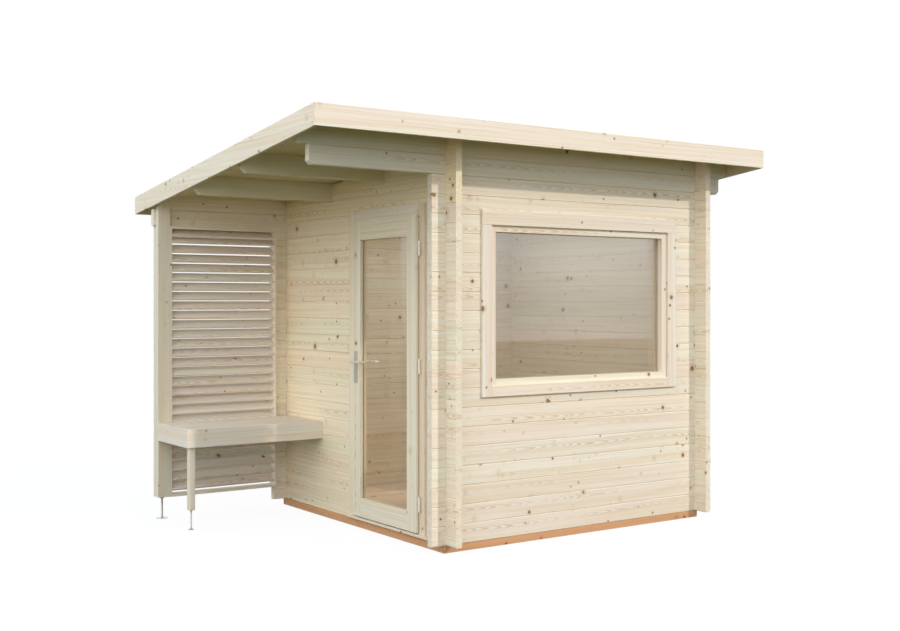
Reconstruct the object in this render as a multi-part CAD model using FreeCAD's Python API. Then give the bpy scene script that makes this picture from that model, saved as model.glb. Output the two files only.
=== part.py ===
import FreeCAD, Part
import math
import os

# Outdoor sauna cabin of interlocking softwood logs, with a covered terrace beside the door.
# Layout frame while modelling: X along the window wall, Y towards the back wall, Z up.
# Its zero is the outer corner of window wall and door wall, on top of the base beams.
# finish() moves everything so that the roof outline is centred over the origin, ground at 0.

# Log walls
LOG_T = 44.0                # wall thickness
COURSE = 114.0              # height that one log adds
CABIN_W = 2106.0            # window wall, outer faces of the side walls
CABIN_D = 2083.0            # side walls, outer faces of front and back wall
LOG_END = 100.0             # how far the logs run past the corners
JOINT_GAP = 0.4             # clearance between stacked logs
NOTCH_GAP = 0.4             # clearance round a crossing log, each side
LOG_BEVEL = 4.0             # bevel that makes the V line between logs
FRONT_COURSES = 19          # whole logs of the window wall, below its two beams
BACK_COURSES = 17           # whole logs of the back wall, below its two beams

# Base and floor
BASE_H = 45.0
BASE_W = 70.0
BASE_SET_FRONT = 3.0        # behind the logs of the window wall
BASE_INSET = 20.0           # right and back
BASE_PROUD = 12.0           # before the logs of the door wall
JOIST_COUNT = 3
FLOOR_T = 26.0
FLOOR_BOARD = 95.0          # cover width of a floor board
BOARD_GAP = 1.0
WALL_CLEAR = 3.0            # floor boards stop short of the logs

# Roof
ROOF_ANGLE = 6.5            # degrees, falling from the window wall to the back wall
TOP_LOG_H = 99.0            # upper front beam at its front face
PURLIN_COUNT = 2            # between the front and back beams
PURLIN_T = 44.0
PURLIN_H = 124.0
BEAM_BEVEL = 38.0           # cut under the free ends of beams and purlins
LOW_BEAM_BEVEL = 22.0
BEAM_SHORT = 24.0           # beams end before the left fascia
BACK_BEAM_SHORT = 8.0       # lower back beam, likewise
BEAM_STEP_LEFT = 85.0       # lower front beam ends this far inside the upper one
BEAM_STEP_RIGHT = 88.0
OVERHANG_FRONT = 305.0
OVERHANG_BACK = 237.0
OVERHANG_RIGHT = 296.0
ROOF_BOARD_T = 22.0
ROOF_BOARD = 110.0
COVER_T = 6.0
GABLE_TIP = 18.0            # height at which the upper gable board ends
FASCIA_T = 20.0
FASCIA_H = 119.0
FASCIA_DROP = 85.0          # fascia below the underside of the roof boards
SEAT_GAP = 0.3              # between pieces that rest against each other
CUT = 1.0                   # a cutting body reaches this far past the wood

# Terrace
TERRACE_W = 982.0           # door wall to the outer face of the post
EAVE_LEFT = 45.0            # fascia beyond the post
POST_W = 86.0
POST_BOTTOM = 100.0
SCREEN_STILE_T = 14.0
SCREEN_RAIL_H = 18.0
SCREEN_DEPTH = 84.0
SCREEN_SETBACK = 1.0        # behind the front face of the post
SCREEN_BOTTOM = 97.5
SLAT_W = 88.5
SLAT_T = 16.5
SLAT_ANGLE = 33.4
SLAT_PITCH = 64.75
SLAT_FIRST = 20.0           # lowest slat edge above the bottom rail
SLAT_SET = 0.5              # slat edges behind the front of the frame
TOP_SLAT_PITCH = 42.0       # the uppermost slat sits closer
SLAT_HOUSING = 6.0          # slat ends let into the side frames

# Bench
BENCH_H = 603.0
BENCH_D = 506.0
APRON_H = 118.0
APRON_T = 24.0
SEAT_BOARD_T = 24.0
SEAT_BOARDS = 4
BENCH_EDGE_R = 9.0
LEG_W = 40.0
LEG_BOTTOM = 80.0

# Screw feet of post and bench leg
POST_PLATE_D = 78.0
LEG_PLATE_D = 34.0
FOOT_PLATE_T = 6.0
POST_ROD_D = 14.0
LEG_ROD_D = 9.0
POST_COLLAR_D = 34.0
LEG_COLLAR_D = 20.0
COLLAR_RIM = 4.0            # straight rim of a collar below its flank

# Doorway and door
LEAF_HINGE_EDGE = 262.0     # from the window wall's face to the leaf
LEAF_W = 774.0
LEAF_H = 1915.0
LEAF_BOTTOM = 34.0
LEAF_T = 46.0
LEAF_PROUD = 34.0           # outer face of the leaf before the log face
LEAF_GAP = 5.0              # to the stops
LEAF_RISE = 8.0             # over the sill
SILL_NOSE = 16.5            # thickness of the sill's nose under the leaf's face
SILL_HORN = 60.0            # nose past the hinge jamb
LIP_T = 13.5                # outer part of the leaf, which laps over jambs and head
LIP_W = 13.0
LIP_LAP = 7.0
STILE_W = 109.0
TOP_RAIL_H = 129.0
BOTTOM_RAIL_H = 121.0
DOOR_GLASS_T = 8.0
DOOR_GLASS_DEPTH = 19.0     # glass behind the outer face of the leaf
GLASS_EDGE = 12.0           # glass let into its frame
GLASS_GAP = 0.4
JAMB_PROUD = 15.0
JAMB_RISE = 6.0             # proud part of the jambs over the base
HINGE_JAMB_FACE = 58.0      # beside the leaf
LOCK_JAMB_FACE = 70.0
HEAD_FACE = 66.0
LOG_HOUSING = 24.0          # log ends let into the grooved jambs
STOP_W = 13.0
HINGE_OFFSET = 18.0         # pin axis beside the leaf edge
HINGE_SET = 7.0             # pin axis behind the outer face of the leaf
HINGE_D = 15.0
HINGE_PIN_D = 8.0
HINGE_PIN_GAP = 0.05
PIN_RISE = 31.0             # pin above the lower knuckle
KNUCKLE_H = 45.0
KNUCKLE_GAP = 0.5
SHANK_D = 7.0
SHANK_L = 34.0
SHANK_GAP = 0.2
HINGE_HEIGHTS = (208.0, 1037.0, 1743.0)

# Lever handles
LEVER_Z = 1034.0
PLATE_W = 42.0
PLATE_H = 206.0
PLATE_T = 3.0
PLATE_RISE = 68.0           # plate top above the lever
NECK_L = 46.0
LEVER_D = 17.0
LEVER_L = 128.0
LEVER_RETURN = 32.0
SPINDLE_W = 8.0
KEYHOLE_D = 9.0
KEYHOLE_DROP = 68.0         # keyhole below the lever

# Window
WINDOW_LEFT = 311.0         # outer edge of the frame from the door wall's face
WINDOW_REST = 305.0         # wall right of the frame
WINDOW_H = 975.0
WINDOW_COURSES = (8, 17)    # log courses between which the opening is cut
FRAME_STILE = 52.0
FRAME_RAIL = 44.0
FRAME_DEPTH = 76.0
PANE_T = 24.0
PANE_SET = 40.0             # pane behind the log face
CASING_T = 16.0
CASING_W = 72.0
CASING_TOP_H = 88.0
CASING_BOTTOM_H = 66.0
CASING_LAP_LEFT = 13.0      # casing over the window frame, each side
CASING_LAP_RIGHT = 8.0
CASING_LAP_TOP = 4.0
CASING_LAP_BOTTOM = 8.0

TAN = math.tan(math.radians(ROOF_ANGLE))
COS = math.cos(math.radians(ROOF_ANGLE))

# Heights and planes that several pieces share
FRONT_WALL_TOP = FRONT_COURSES * COURSE
SOFFIT_FRONT = FRONT_WALL_TOP + COURSE + TOP_LOG_H
BACK_INNER = CABIN_D - LOG_T
RIGHT_INNER = CABIN_W - LOG_T
ROOF_LEFT = -TERRACE_W - EAVE_LEFT
ROOF_RIGHT = CABIN_W + OVERHANG_RIGHT
ROOF_FRONT = -OVERHANG_FRONT
ROOF_BACK = CABIN_D + OVERHANG_BACK
BEAM_LEFT = ROOF_LEFT + FASCIA_T + BEAM_SHORT
BACK_BEAM_LEFT = ROOF_LEFT + FASCIA_T + BACK_BEAM_SHORT
BEAM_RIGHT = ROOF_RIGHT - FASCIA_T - SEAT_GAP
BACK_BEAM_BOTTOM = BACK_COURSES * COURSE
POST_LEFT = -TERRACE_W
POST_RIGHT = POST_LEFT + POST_W
POST_FRONT = CABIN_D - POST_W
LEAF_OUT = -LEAF_PROUD
LEAF_IN = LEAF_OUT + LEAF_T
LEAF_LOCK_EDGE = LEAF_HINGE_EDGE + LEAF_W
LEAF_TOP = LEAF_BOTTOM + LEAF_H
JAMB_OUT = -JAMB_PROUD
JAMB_IN = LOG_T + JAMB_PROUD
HINGE_JAMB = (LEAF_HINGE_EDGE - HINGE_JAMB_FACE, LEAF_HINGE_EDGE + LIP_LAP)
LOCK_JAMB = (LEAF_LOCK_EDGE - LIP_LAP, LEAF_LOCK_EDGE + LOCK_JAMB_FACE)
HEAD = (LEAF_TOP - LIP_LAP, LEAF_TOP + HEAD_FACE)
SILL_TOP = LEAF_BOTTOM - LEAF_RISE
DOOR_CUT = (HINGE_JAMB[0] + LOG_HOUSING, LOCK_JAMB[1] - LOG_HOUSING)
HINGE_X = LEAF_OUT + HINGE_SET
HINGE_Y = LEAF_HINGE_EDGE - HINGE_OFFSET
WINDOW_RIGHT = CABIN_W - WINDOW_REST
WINDOW_BOTTOM = WINDOW_COURSES[0] * COURSE
WINDOW_TOP = WINDOW_BOTTOM + WINDOW_H
# Side logs lie half a course higher; log n reaches from (n + 1/2) to (n + 3/2) courses
LOG_OVER_DOOR = math.ceil((HEAD[1] - LOG_HOUSING) / COURSE - 0.5)
OVER_DOOR = (LOG_OVER_DOOR + 0.5) * COURSE
LAST_LEVEL_LOG = math.floor((SOFFIT_FRONT - (CABIN_D + LOG_END) * TAN) / COURSE - 1.5)


def soffit(y):
    """Height of the roof boards' underside over a place y."""
    return SOFFIT_FRONT - y * TAN


def box(x0, x1, y0, y1, z0, z1):
    """Box between two corners."""
    return Part.makeBox(x1 - x0, y1 - y0, z1 - z0, FreeCAD.Vector(x0, y0, z0))


def prism(points, sweep):
    """Straight prism: a closed outline of points, pushed along a vector."""
    corners = [FreeCAD.Vector(*point) for point in points]
    wire = Part.makePolygon(corners + corners[:1])
    return Part.Face(wire).extrude(FreeCAD.Vector(*sweep))


def cylinder(diameter, length, base, axis):
    """Round bar from a base point along an axis."""
    return Part.makeCylinder(diameter / 2, length, FreeCAD.Vector(*base), FreeCAD.Vector(*axis))


def roof_prism(x0, x1, y0, y1, low, high):
    """Prism that follows the roof slope, low and high above the soffit plane."""
    outline = [
        (x0, y0, soffit(y0) + low),
        (x0, y1, soffit(y1) + low),
        (x0, y1, soffit(y1) + high),
        (x0, y0, soffit(y0) + high),
    ]
    return prism(outline, (x1 - x0, 0, 0))


def log_outline(z0, z1):
    """Section of a log as (across, height), bevelled along its four edges."""
    top = z1 - JOINT_GAP
    return [
        (0, z0 + LOG_BEVEL), (LOG_BEVEL, z0), (LOG_T - LOG_BEVEL, z0), (LOG_T, z0 + LOG_BEVEL),
        (LOG_T, top - LOG_BEVEL), (LOG_T - LOG_BEVEL, top), (LOG_BEVEL, top), (0, top - LOG_BEVEL),
    ]


def log_along_x(x0, x1, y, z0, z1):
    """Log of the front or back wall, its nearer face at y."""
    return prism([(x0, y + across, z) for across, z in log_outline(z0, z1)], (x1 - x0, 0, 0))


def log_along_y(y0, y1, x, z0, z1):
    """Log of a side wall, its left face at x."""
    return prism([(x + across, y0, z) for across, z in log_outline(z0, z1)], (0, y1 - y0, 0))


def crossing(x, y, z0, z1):
    """Room for the log that crosses at x, y, between two heights."""
    return box(x - NOTCH_GAP, x + LOG_T + NOTCH_GAP, y - NOTCH_GAP, y + LOG_T + NOTCH_GAP, z0, z1)


def notches(x, y, z0, z1, top=True, bottom=True):
    """Notches a quarter of a course deep, in the top and bottom of a log where another crosses."""
    deep = COURSE / 4
    cuts = []
    if top:
        cuts.append(crossing(x, y, z1 - deep - NOTCH_GAP, z1 + CUT))
    if bottom:
        cuts.append(crossing(x, y, z0 - CUT, z0 + deep))
    return cuts


def cut_all(shape, tools):
    """Shape less every tool, as one clean solid where it stays whole."""
    for tool in tools:
        shape = shape.cut(tool)
    return shape.removeSplitter()


def beam(x0, x1, y, z0):
    """Roof beam along X under the roof boards, bevelled below its ends."""
    body = prism(
        [
            (x0, y, z0),
            (x0, y + PURLIN_T, z0),
            (x0, y + PURLIN_T, soffit(y + PURLIN_T) - SEAT_GAP),
            (x0, y, soffit(y) - SEAT_GAP),
        ],
        (x1 - x0, 0, 0),
    )
    return cut_all(body, end_bevels(x0, x1, y, z0, BEAM_BEVEL))


def end_bevels(x0, x1, y, z0, size):
    """Slanting cuts of one size under the two ends of a beam."""
    cuts = []
    for x, sign in ((x0, 1), (x1, -1)):
        outside = x - sign * CUT
        corner = [(outside, z0 - CUT), (x + sign * size, z0 - CUT), (outside, z0 + size)]
        cuts.append(prism([(a, y - CUT, h) for a, h in corner], (0, PURLIN_T + 2 * CUT, 0)))
    return cuts


def purlin_places():
    """Front faces of the purlins between the front and back beams."""
    pitch = BACK_INNER / (PURLIN_COUNT + 1)
    return [pitch * (number + 1) for number in range(PURLIN_COUNT)]


def base_beams():
    """Impregnated ring of beams and joists that carries walls and floor."""
    x0 = -BASE_PROUD
    x1 = CABIN_W - BASE_INSET
    y0 = BASE_SET_FRONT
    y1 = CABIN_D - BASE_INSET
    z0 = -BASE_H
    z1 = -JOINT_GAP
    ring = [box(x0, x1, y0, y0 + BASE_W, z0, z1), box(x0, x1, y1 - BASE_W, y1, z0, z1)]
    inner = (y0 + BASE_W + JOINT_GAP, y1 - BASE_W - JOINT_GAP)
    pitch = (x1 - x0 - BASE_W) / (JOIST_COUNT + 1)
    for number in range(JOIST_COUNT + 2):
        start = x0 + number * pitch
        ring.append(box(start, start + BASE_W, inner[0], inner[1], z0, z1))
    return ring


def floor_boards():
    """Floor boards along the window wall, between the logs."""
    x0 = LOG_T + JAMB_PROUD + WALL_CLEAR
    x1 = RIGHT_INNER - WALL_CLEAR
    y0 = LOG_T + WALL_CLEAR
    y1 = BACK_INNER - WALL_CLEAR
    count = math.ceil((y1 - y0) / FLOOR_BOARD)
    cover = (y1 - y0) / count
    boards = []
    for number in range(count):
        start = y0 + number * cover
        boards.append(box(x0, x1, start, start + cover - BOARD_GAP, 0, FLOOR_T))
    return boards


def front_log(number, x0=-LOG_END, x1=CABIN_W + LOG_END):
    """One whole or shortened log of the window wall."""
    z0 = number * COURSE
    z1 = z0 + COURSE
    log = log_along_x(x0, x1, 0, z0, z1)
    cuts = []
    if x0 < 0:
        cuts += notches(0, 0, z0, z1)
    if x1 > CABIN_W:
        cuts += notches(RIGHT_INNER, 0, z0, z1)
    return cut_all(log, cuts)


def wall_front_below():
    return [front_log(number) for number in range(WINDOW_COURSES[0])]


def wall_front_left():
    end = WINDOW_LEFT - SEAT_GAP
    return [front_log(number, x1=end) for number in range(*WINDOW_COURSES)]


def wall_front_right():
    start = WINDOW_RIGHT + SEAT_GAP
    return [front_log(number, x0=start) for number in range(*WINDOW_COURSES)]


def wall_front_above():
    return [front_log(number) for number in range(WINDOW_COURSES[1], FRONT_COURSES)]


def beam_front_lower():
    """Lower beam: the twentieth log, run out over the terrace and past the right wall."""
    x0 = BEAM_LEFT + BEAM_STEP_LEFT
    x1 = BEAM_RIGHT - BEAM_STEP_RIGHT
    z0 = FRONT_WALL_TOP
    z1 = z0 + COURSE
    log = log_along_x(x0, x1, 0, z0, z1)
    cuts = notches(0, 0, z0, z1) + notches(RIGHT_INNER, 0, z0, z1)
    return [cut_all(log, cuts + end_bevels(x0, x1, 0, z0, LOW_BEAM_BEVEL))]


def beam_front_upper():
    """Upper beam under the roof boards, cut to the slope."""
    z0 = FRONT_WALL_TOP + COURSE
    cuts = notches(0, 0, z0, z0 + COURSE, top=False) + notches(RIGHT_INNER, 0, z0, z0 + COURSE, top=False)
    return [cut_all(beam(BEAM_LEFT, BEAM_RIGHT, 0, z0), cuts)]


def back_log(number):
    """One whole log of the back wall."""
    z0 = number * COURSE
    z1 = z0 + COURSE
    log = log_along_x(-LOG_END, CABIN_W + LOG_END, BACK_INNER, z0, z1)
    cuts = notches(0, BACK_INNER, z0, z1) + notches(RIGHT_INNER, BACK_INNER, z0, z1)
    return cut_all(log, cuts)


def wall_back():
    return [back_log(number) for number in range(BACK_COURSES)]


def beam_back_lower():
    """Back beam that reaches over the screen to the post."""
    z0 = BACK_BEAM_BOTTOM
    z1 = z0 + COURSE
    log = log_along_x(BACK_BEAM_LEFT, CABIN_W + LOG_END, BACK_INNER, z0, z1)
    cuts = notches(0, BACK_INNER, z0, z1) + notches(RIGHT_INNER, BACK_INNER, z0, z1)
    return [cut_all(log, cuts)]


def beam_back_upper():
    """Upper back beam under the roof boards."""
    z0 = BACK_BEAM_BOTTOM + COURSE
    cuts = notches(0, BACK_INNER, z0, z0 + COURSE, top=False)
    cuts += notches(RIGHT_INNER, BACK_INNER, z0, z0 + COURSE, top=False)
    return [cut_all(beam(BEAM_LEFT, BEAM_RIGHT, BACK_INNER, z0), cuts)]


def side_log(x, number, y0=-LOG_END, y1=CABIN_D + LOG_END):
    """One log of a side wall, half a course above the front logs; number -1 is the half log."""
    z0 = max(0.0, (number + 0.5) * COURSE)
    z1 = (number + 1.5) * COURSE
    cuts = purlin_slots(x)
    if y0 < 0:
        cuts += notches(x, 0, z0, z1, bottom=number >= 0)
    if y1 > CABIN_D:
        cuts += notches(x, BACK_INNER, z0, z1, bottom=number >= 0)
    return cut_all(log_along_y(y0, y1, x, z0, z1), cuts)


def purlin_slots(x):
    """Slots where the purlins pass through a side wall."""
    slots = []
    for y in purlin_places():
        front = y - NOTCH_GAP
        back = y + PURLIN_T + NOTCH_GAP
        low = soffit(y) - PURLIN_H - NOTCH_GAP
        slots.append(box(x - CUT, x + LOG_T + CUT, front, back, low, SOFFIT_FRONT))
    return slots


def gable_boards(x):
    """The two boards that fill a side wall up to the roof slope, parted by the purlins."""
    z0 = (LAST_LEVEL_LOG + 1.5) * COURSE
    z1 = z0 + COURSE
    wedge_end = (SOFFIT_FRONT - z1) / TAN - GABLE_TIP / TAN
    above_roof = roof_prism(x - CUT, x + LOG_T + CUT, -LOG_END - CUT, CABIN_D, -SEAT_GAP, 2 * COURSE)
    lower = log_along_y(-LOG_END, BACK_INNER - NOTCH_GAP, x, z0, z1)
    upper = log_along_y(-LOG_END, wedge_end, x, z1, z1 + 2 * COURSE)
    lower_cuts = notches(x, 0, z0, z1)
    lap = crossing(x, 0, z1 + COURSE * 0.75 - NOTCH_GAP, z1 + 2 * COURSE)
    upper_cuts = notches(x, 0, z1, z1, top=False) + [lap]
    boards = []
    for board, cuts in ((lower, lower_cuts), (upper, upper_cuts)):
        boards += cut_all(board, cuts + purlin_slots(x) + [above_roof]).Solids
    return boards


def side_logs_to_door(x, **ends):
    """Side logs from the base up to the top of the doorway."""
    return [side_log(x, number, **ends) for number in range(-1, LOG_OVER_DOOR)]


def side_logs_over_door(x):
    """Level logs over the doorway and the boards of the slope."""
    return [side_log(x, number) for number in range(LOG_OVER_DOOR, LAST_LEVEL_LOG + 1)] + gable_boards(x)


def wall_left_front():
    return side_logs_to_door(0, y1=DOOR_CUT[0] - SEAT_GAP)


def wall_left_back():
    return side_logs_to_door(0, y0=DOOR_CUT[1] + SEAT_GAP)


def wall_left_above():
    return side_logs_over_door(0)


def wall_right():
    return side_logs_to_door(RIGHT_INNER) + side_logs_over_door(RIGHT_INNER)


def purlins():
    """Purlins through both side walls."""
    bars = []
    for y in purlin_places():
        bars.append(beam(BEAM_LEFT, BEAM_RIGHT, y, soffit(y) - PURLIN_H))
    return bars


def roof_boards():
    """Boards that lie on the beams and run down the slope."""
    x0 = ROOF_LEFT + FASCIA_T + SEAT_GAP
    x1 = ROOF_RIGHT - FASCIA_T - SEAT_GAP
    y0 = ROOF_FRONT + FASCIA_T + SEAT_GAP
    y1 = ROOF_BACK - FASCIA_T - SEAT_GAP
    count = math.ceil((x1 - x0) / ROOF_BOARD)
    cover = (x1 - x0) / count
    boards = []
    for number in range(count):
        start = x0 + number * cover
        boards.append(roof_prism(start, start + cover - BOARD_GAP, y0, y1, 0, ROOF_BOARD_T / COS))
    return boards


def roof_cover():
    """Bitumen sheet on the boards, inside the fascia."""
    low = ROOF_BOARD_T / COS + SEAT_GAP
    inset = FASCIA_T + SEAT_GAP
    x0 = ROOF_LEFT + inset
    x1 = ROOF_RIGHT - inset
    return [roof_prism(x0, x1, ROOF_FRONT + inset, ROOF_BACK - inset, low, low + COVER_T)]


def fascia_level(y0):
    """Level fascia board of the front or back eave."""
    bottom = soffit(y0 if y0 < 0 else y0 + FASCIA_T) - FASCIA_DROP
    return [box(ROOF_LEFT, ROOF_RIGHT, y0, y0 + FASCIA_T, bottom, bottom + FASCIA_H)]


def fascia_front():
    return fascia_level(ROOF_FRONT)


def fascia_back():
    return fascia_level(ROOF_BACK - FASCIA_T)


def fascia_side(x0):
    """Sloping fascia board between the two level ones."""
    y0 = ROOF_FRONT + FASCIA_T + SEAT_GAP
    y1 = ROOF_BACK - FASCIA_T - SEAT_GAP
    return [roof_prism(x0, x0 + FASCIA_T, y0, y1, -FASCIA_DROP, FASCIA_H / COS - FASCIA_DROP)]


def fascia_left():
    return fascia_side(ROOF_LEFT)


def fascia_right():
    return fascia_side(ROOF_RIGHT - FASCIA_T)


def post():
    """Terrace post up to the roof boards, halved behind for the back beams."""
    top = soffit(POST_FRONT)
    body = box(POST_LEFT, POST_RIGHT, POST_FRONT, CABIN_D, POST_BOTTOM, top)
    x0 = POST_LEFT - CUT
    x1 = POST_RIGHT + CUT
    halving = box(x0, x1, BACK_INNER - SEAT_GAP, CABIN_D + CUT, BACK_BEAM_BOTTOM - SEAT_GAP, top + CUT)
    above_roof = roof_prism(x0, x1, POST_FRONT - CUT, CABIN_D + CUT, -SEAT_GAP, COURSE)
    return [cut_all(body, [halving, above_roof])]


def slat(z):
    """One inclined slat with its lower front edge at height z."""
    y0 = POST_FRONT + SCREEN_SETBACK + SLAT_SET
    angle = math.radians(SLAT_ANGLE)
    along = (math.cos(angle), math.sin(angle))
    across = (-math.sin(angle), math.cos(angle))
    start = (y0 + SLAT_T * math.sin(angle), z)
    far = (start[0] + SLAT_W * along[0], start[1] + SLAT_W * along[1])
    corners = [
        start,
        far,
        (far[0] + SLAT_T * across[0], far[1] + SLAT_T * across[1]),
        (start[0] + SLAT_T * across[0], start[1] + SLAT_T * across[1]),
    ]
    x0 = POST_RIGHT + SEAT_GAP + SCREEN_STILE_T - SLAT_HOUSING
    x1 = -LOG_END - SEAT_GAP - SCREEN_STILE_T + SLAT_HOUSING
    return prism([(x0, y, h) for y, h in corners], (x1 - x0, 0, 0))


def screen_heights():
    """Lower edges of the slats from bottom to top."""
    first = SCREEN_BOTTOM + SCREEN_RAIL_H + SLAT_FIRST
    room = BACK_BEAM_BOTTOM - SCREEN_RAIL_H - first - TOP_SLAT_PITCH
    count = int(room / SLAT_PITCH) + 1
    heights = [first + number * SLAT_PITCH for number in range(count)]
    return heights + [heights[-1] + TOP_SLAT_PITCH]


def louvre_screen():
    """Framed louvre between post and back wall; the slats are housed in the side frames."""
    x0 = POST_RIGHT + SEAT_GAP
    x1 = -LOG_END - SEAT_GAP
    y0 = POST_FRONT + SCREEN_SETBACK
    y1 = y0 + SCREEN_DEPTH
    z0 = SCREEN_BOTTOM
    z1 = BACK_BEAM_BOTTOM - SEAT_GAP
    rail = SCREEN_RAIL_H
    stile = SCREEN_STILE_T
    inside = box(x0 + stile, x1 - stile, y0 - CUT, y1 + CUT, z0 + rail, z1 - rail)
    frame = box(x0, x1, y0, y1, z0, z1).cut(inside)
    top = box(x0, x1, y0 - SLAT_W, y1 + SLAT_W, z1 - rail, z1 + SLAT_W)
    for height in screen_heights():
        frame = frame.fuse(slat(height).cut(top))
    return [frame.removeSplitter()]


def bench_seat():
    """Seat boards of the terrace bench, with eased front edge."""
    y0 = POST_FRONT - SEAT_GAP - BENCH_D
    x1 = -SEAT_GAP
    cover = (BENCH_D - APRON_T) / SEAT_BOARDS
    boards = []
    for number in range(SEAT_BOARDS):
        start = y0 + APRON_T + number * cover
        boards.append(
            box(POST_LEFT + APRON_T + SEAT_GAP, x1, start + SEAT_GAP, start + cover - BOARD_GAP,
                BENCH_H - SEAT_BOARD_T, BENCH_H)
        )
    return boards


def bench_apron():
    """Front and end apron with a rounded corner between them."""
    y0 = POST_FRONT - SEAT_GAP - BENCH_D
    z0 = BENCH_H - APRON_H
    outer = box(POST_LEFT, -SEAT_GAP, y0, POST_FRONT - SEAT_GAP, z0, BENCH_H)
    corner = [edge for edge in outer.Edges if is_upright_at(edge, POST_LEFT, y0)]
    outer = outer.makeFillet(BENCH_EDGE_R, corner)
    inner = box(POST_LEFT + APRON_T, APRON_T, y0 + APRON_T, POST_FRONT + APRON_T, z0 - CUT, BENCH_H + CUT)
    return [outer.cut(inner)]


def is_upright_at(edge, x, y):
    """Whether an edge stands upright over the place x, y."""
    box_of = edge.BoundBox
    centre = box_of.Center
    return box_of.ZLength > 1 and abs(centre.x - x) < 0.1 and abs(centre.y - y) < 0.1


def bench_battens():
    """Battens under the seat: on the door wall, at the free end and in the middle."""
    y0 = POST_FRONT - SEAT_GAP - BENCH_D + APRON_T + SEAT_GAP
    y1 = POST_FRONT - SEAT_GAP - BOARD_GAP
    z1 = BENCH_H - SEAT_BOARD_T - SEAT_GAP
    z0 = z1 - LEG_W
    left = POST_LEFT + APRON_T + SEAT_GAP
    places = (left + LEG_W + SEAT_GAP, (left - LEG_W) / 2, -SEAT_GAP - LEG_W)
    return [box(x, x + LEG_W, y0, y1, z0, z1) for x in places]


def bench_leg():
    """Square leg inside the corner of the aprons."""
    x0 = POST_LEFT + APRON_T + SEAT_GAP
    y0 = POST_FRONT - SEAT_GAP - BENCH_D + APRON_T + SEAT_GAP
    return [box(x0, x0 + LEG_W, y0, y0 + LEG_W, LEG_BOTTOM, BENCH_H - SEAT_BOARD_T - SEAT_GAP)]


def screw_foot(x, y, top, plate, rod, collar):
    """Turned screw foot: ground plate, threaded rod and collar under the wood."""
    ground = -BASE_H
    outline = [
        (0, ground),
        (plate / 2, ground),
        (plate / 2, ground + FOOT_PLATE_T / 2),
        (rod, ground + FOOT_PLATE_T),
        (rod / 2, ground + FOOT_PLATE_T + rod / 2),
        (rod / 2, top - collar / 2),
        (collar / 2, top - COLLAR_RIM),
        (collar / 2, top - SEAT_GAP),
        (0, top - SEAT_GAP),
    ]
    corners = [FreeCAD.Vector(x + r, y, z) for r, z in outline]
    face = Part.Face(Part.makePolygon(corners + corners[:1]))
    return face.revolve(FreeCAD.Vector(x, y, 0), FreeCAD.Vector(0, 0, 1), 360)


def screw_feet():
    """Feet under the terrace post and the bench leg."""
    leg = bench_leg()[0].BoundBox.Center
    post_x = (POST_LEFT + POST_RIGHT) / 2
    post_y = (POST_FRONT + CABIN_D) / 2
    return [
        screw_foot(post_x, post_y, POST_BOTTOM, POST_PLATE_D, POST_ROD_D, POST_COLLAR_D),
        screw_foot(leg.x, leg.y, LEG_BOTTOM, LEG_PLATE_D, LEG_ROD_D, LEG_COLLAR_D),
    ]


def jamb(y0, y1, groove_y0, groove_y1):
    """Grooved jamb that holds the log ends beside the doorway."""
    body = box(JAMB_OUT, JAMB_IN, y0, y1, 0, HEAD[1])
    groove = box(-SEAT_GAP, LOG_T + SEAT_GAP, groove_y0, groove_y1, -CUT, HEAD[1] + CUT)
    log_above = box(-SEAT_GAP, LOG_T + SEAT_GAP, y0 - CUT, y1 + CUT, OVER_DOOR - SEAT_GAP, HEAD[1] + CUT)
    toe = box(JAMB_OUT - CUT, 0, y0 - CUT, y1 + CUT, -CUT, JAMB_RISE)
    return body.cut(groove).cut(log_above).cut(toe)


def door_jamb_hinge():
    """Jamb on the hinge side, with bores for the fixed hinge shanks."""
    body = jamb(*HINGE_JAMB, HINGE_JAMB[0] - CUT, DOOR_CUT[0])
    for height in HINGE_HEIGHTS:
        body = body.cut(fixed_shank(height, SHANK_GAP))
    return [body]


def door_jamb_lock():
    return [jamb(*LOCK_JAMB, DOOR_CUT[1], LOCK_JAMB[1] + CUT)]


def door_head():
    """Grooved head between the jambs, round the log above."""
    y0 = HINGE_JAMB[1] + SEAT_GAP
    y1 = LOCK_JAMB[0] - SEAT_GAP
    body = box(JAMB_OUT, JAMB_IN, y0, y1, HEAD[0], HEAD[1])
    groove = box(-SEAT_GAP, LOG_T + SEAT_GAP, y0 - CUT, y1 + CUT, OVER_DOOR - SEAT_GAP, HEAD[1] + CUT)
    return [body.cut(groove)]


def door_sill():
    """Threshold on the base beam, its nose running on before the jambs."""
    y0 = HINGE_JAMB[1] + SEAT_GAP
    y1 = LOCK_JAMB[0] - SEAT_GAP
    under = SILL_TOP - SILL_NOSE
    tread = box(0, JAMB_IN, y0, y1, 0, SILL_TOP)
    tongue = box(LEAF_OUT, 0, y0, y1, under, SILL_TOP)
    nose = box(LEAF_OUT, JAMB_OUT - SEAT_GAP, HINGE_JAMB[0] - SILL_HORN, LOCK_JAMB[1], under, SILL_TOP)
    return [tread.fuse(tongue).fuse(nose).removeSplitter()]


def door_stops():
    """Strips inside the frame that the closed leaf stands before."""
    x0 = LEAF_IN + LEAF_GAP
    y0 = HINGE_JAMB[1] + SEAT_GAP
    y1 = LOCK_JAMB[0] - SEAT_GAP
    z0 = SILL_TOP + SEAT_GAP
    z1 = HEAD[0] - SEAT_GAP
    return [
        box(x0, JAMB_IN, y0, y0 + STOP_W, z0, z1),
        box(x0, JAMB_IN, y1 - STOP_W, y1, z0, z1),
        box(x0, JAMB_IN, y0 + STOP_W + SEAT_GAP, y1 - STOP_W - SEAT_GAP, z1 - STOP_W, z1),
        box(x0, JAMB_IN, y0 + STOP_W + SEAT_GAP, y1 - STOP_W - SEAT_GAP, z0, z0 + STOP_W),
    ]


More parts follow.
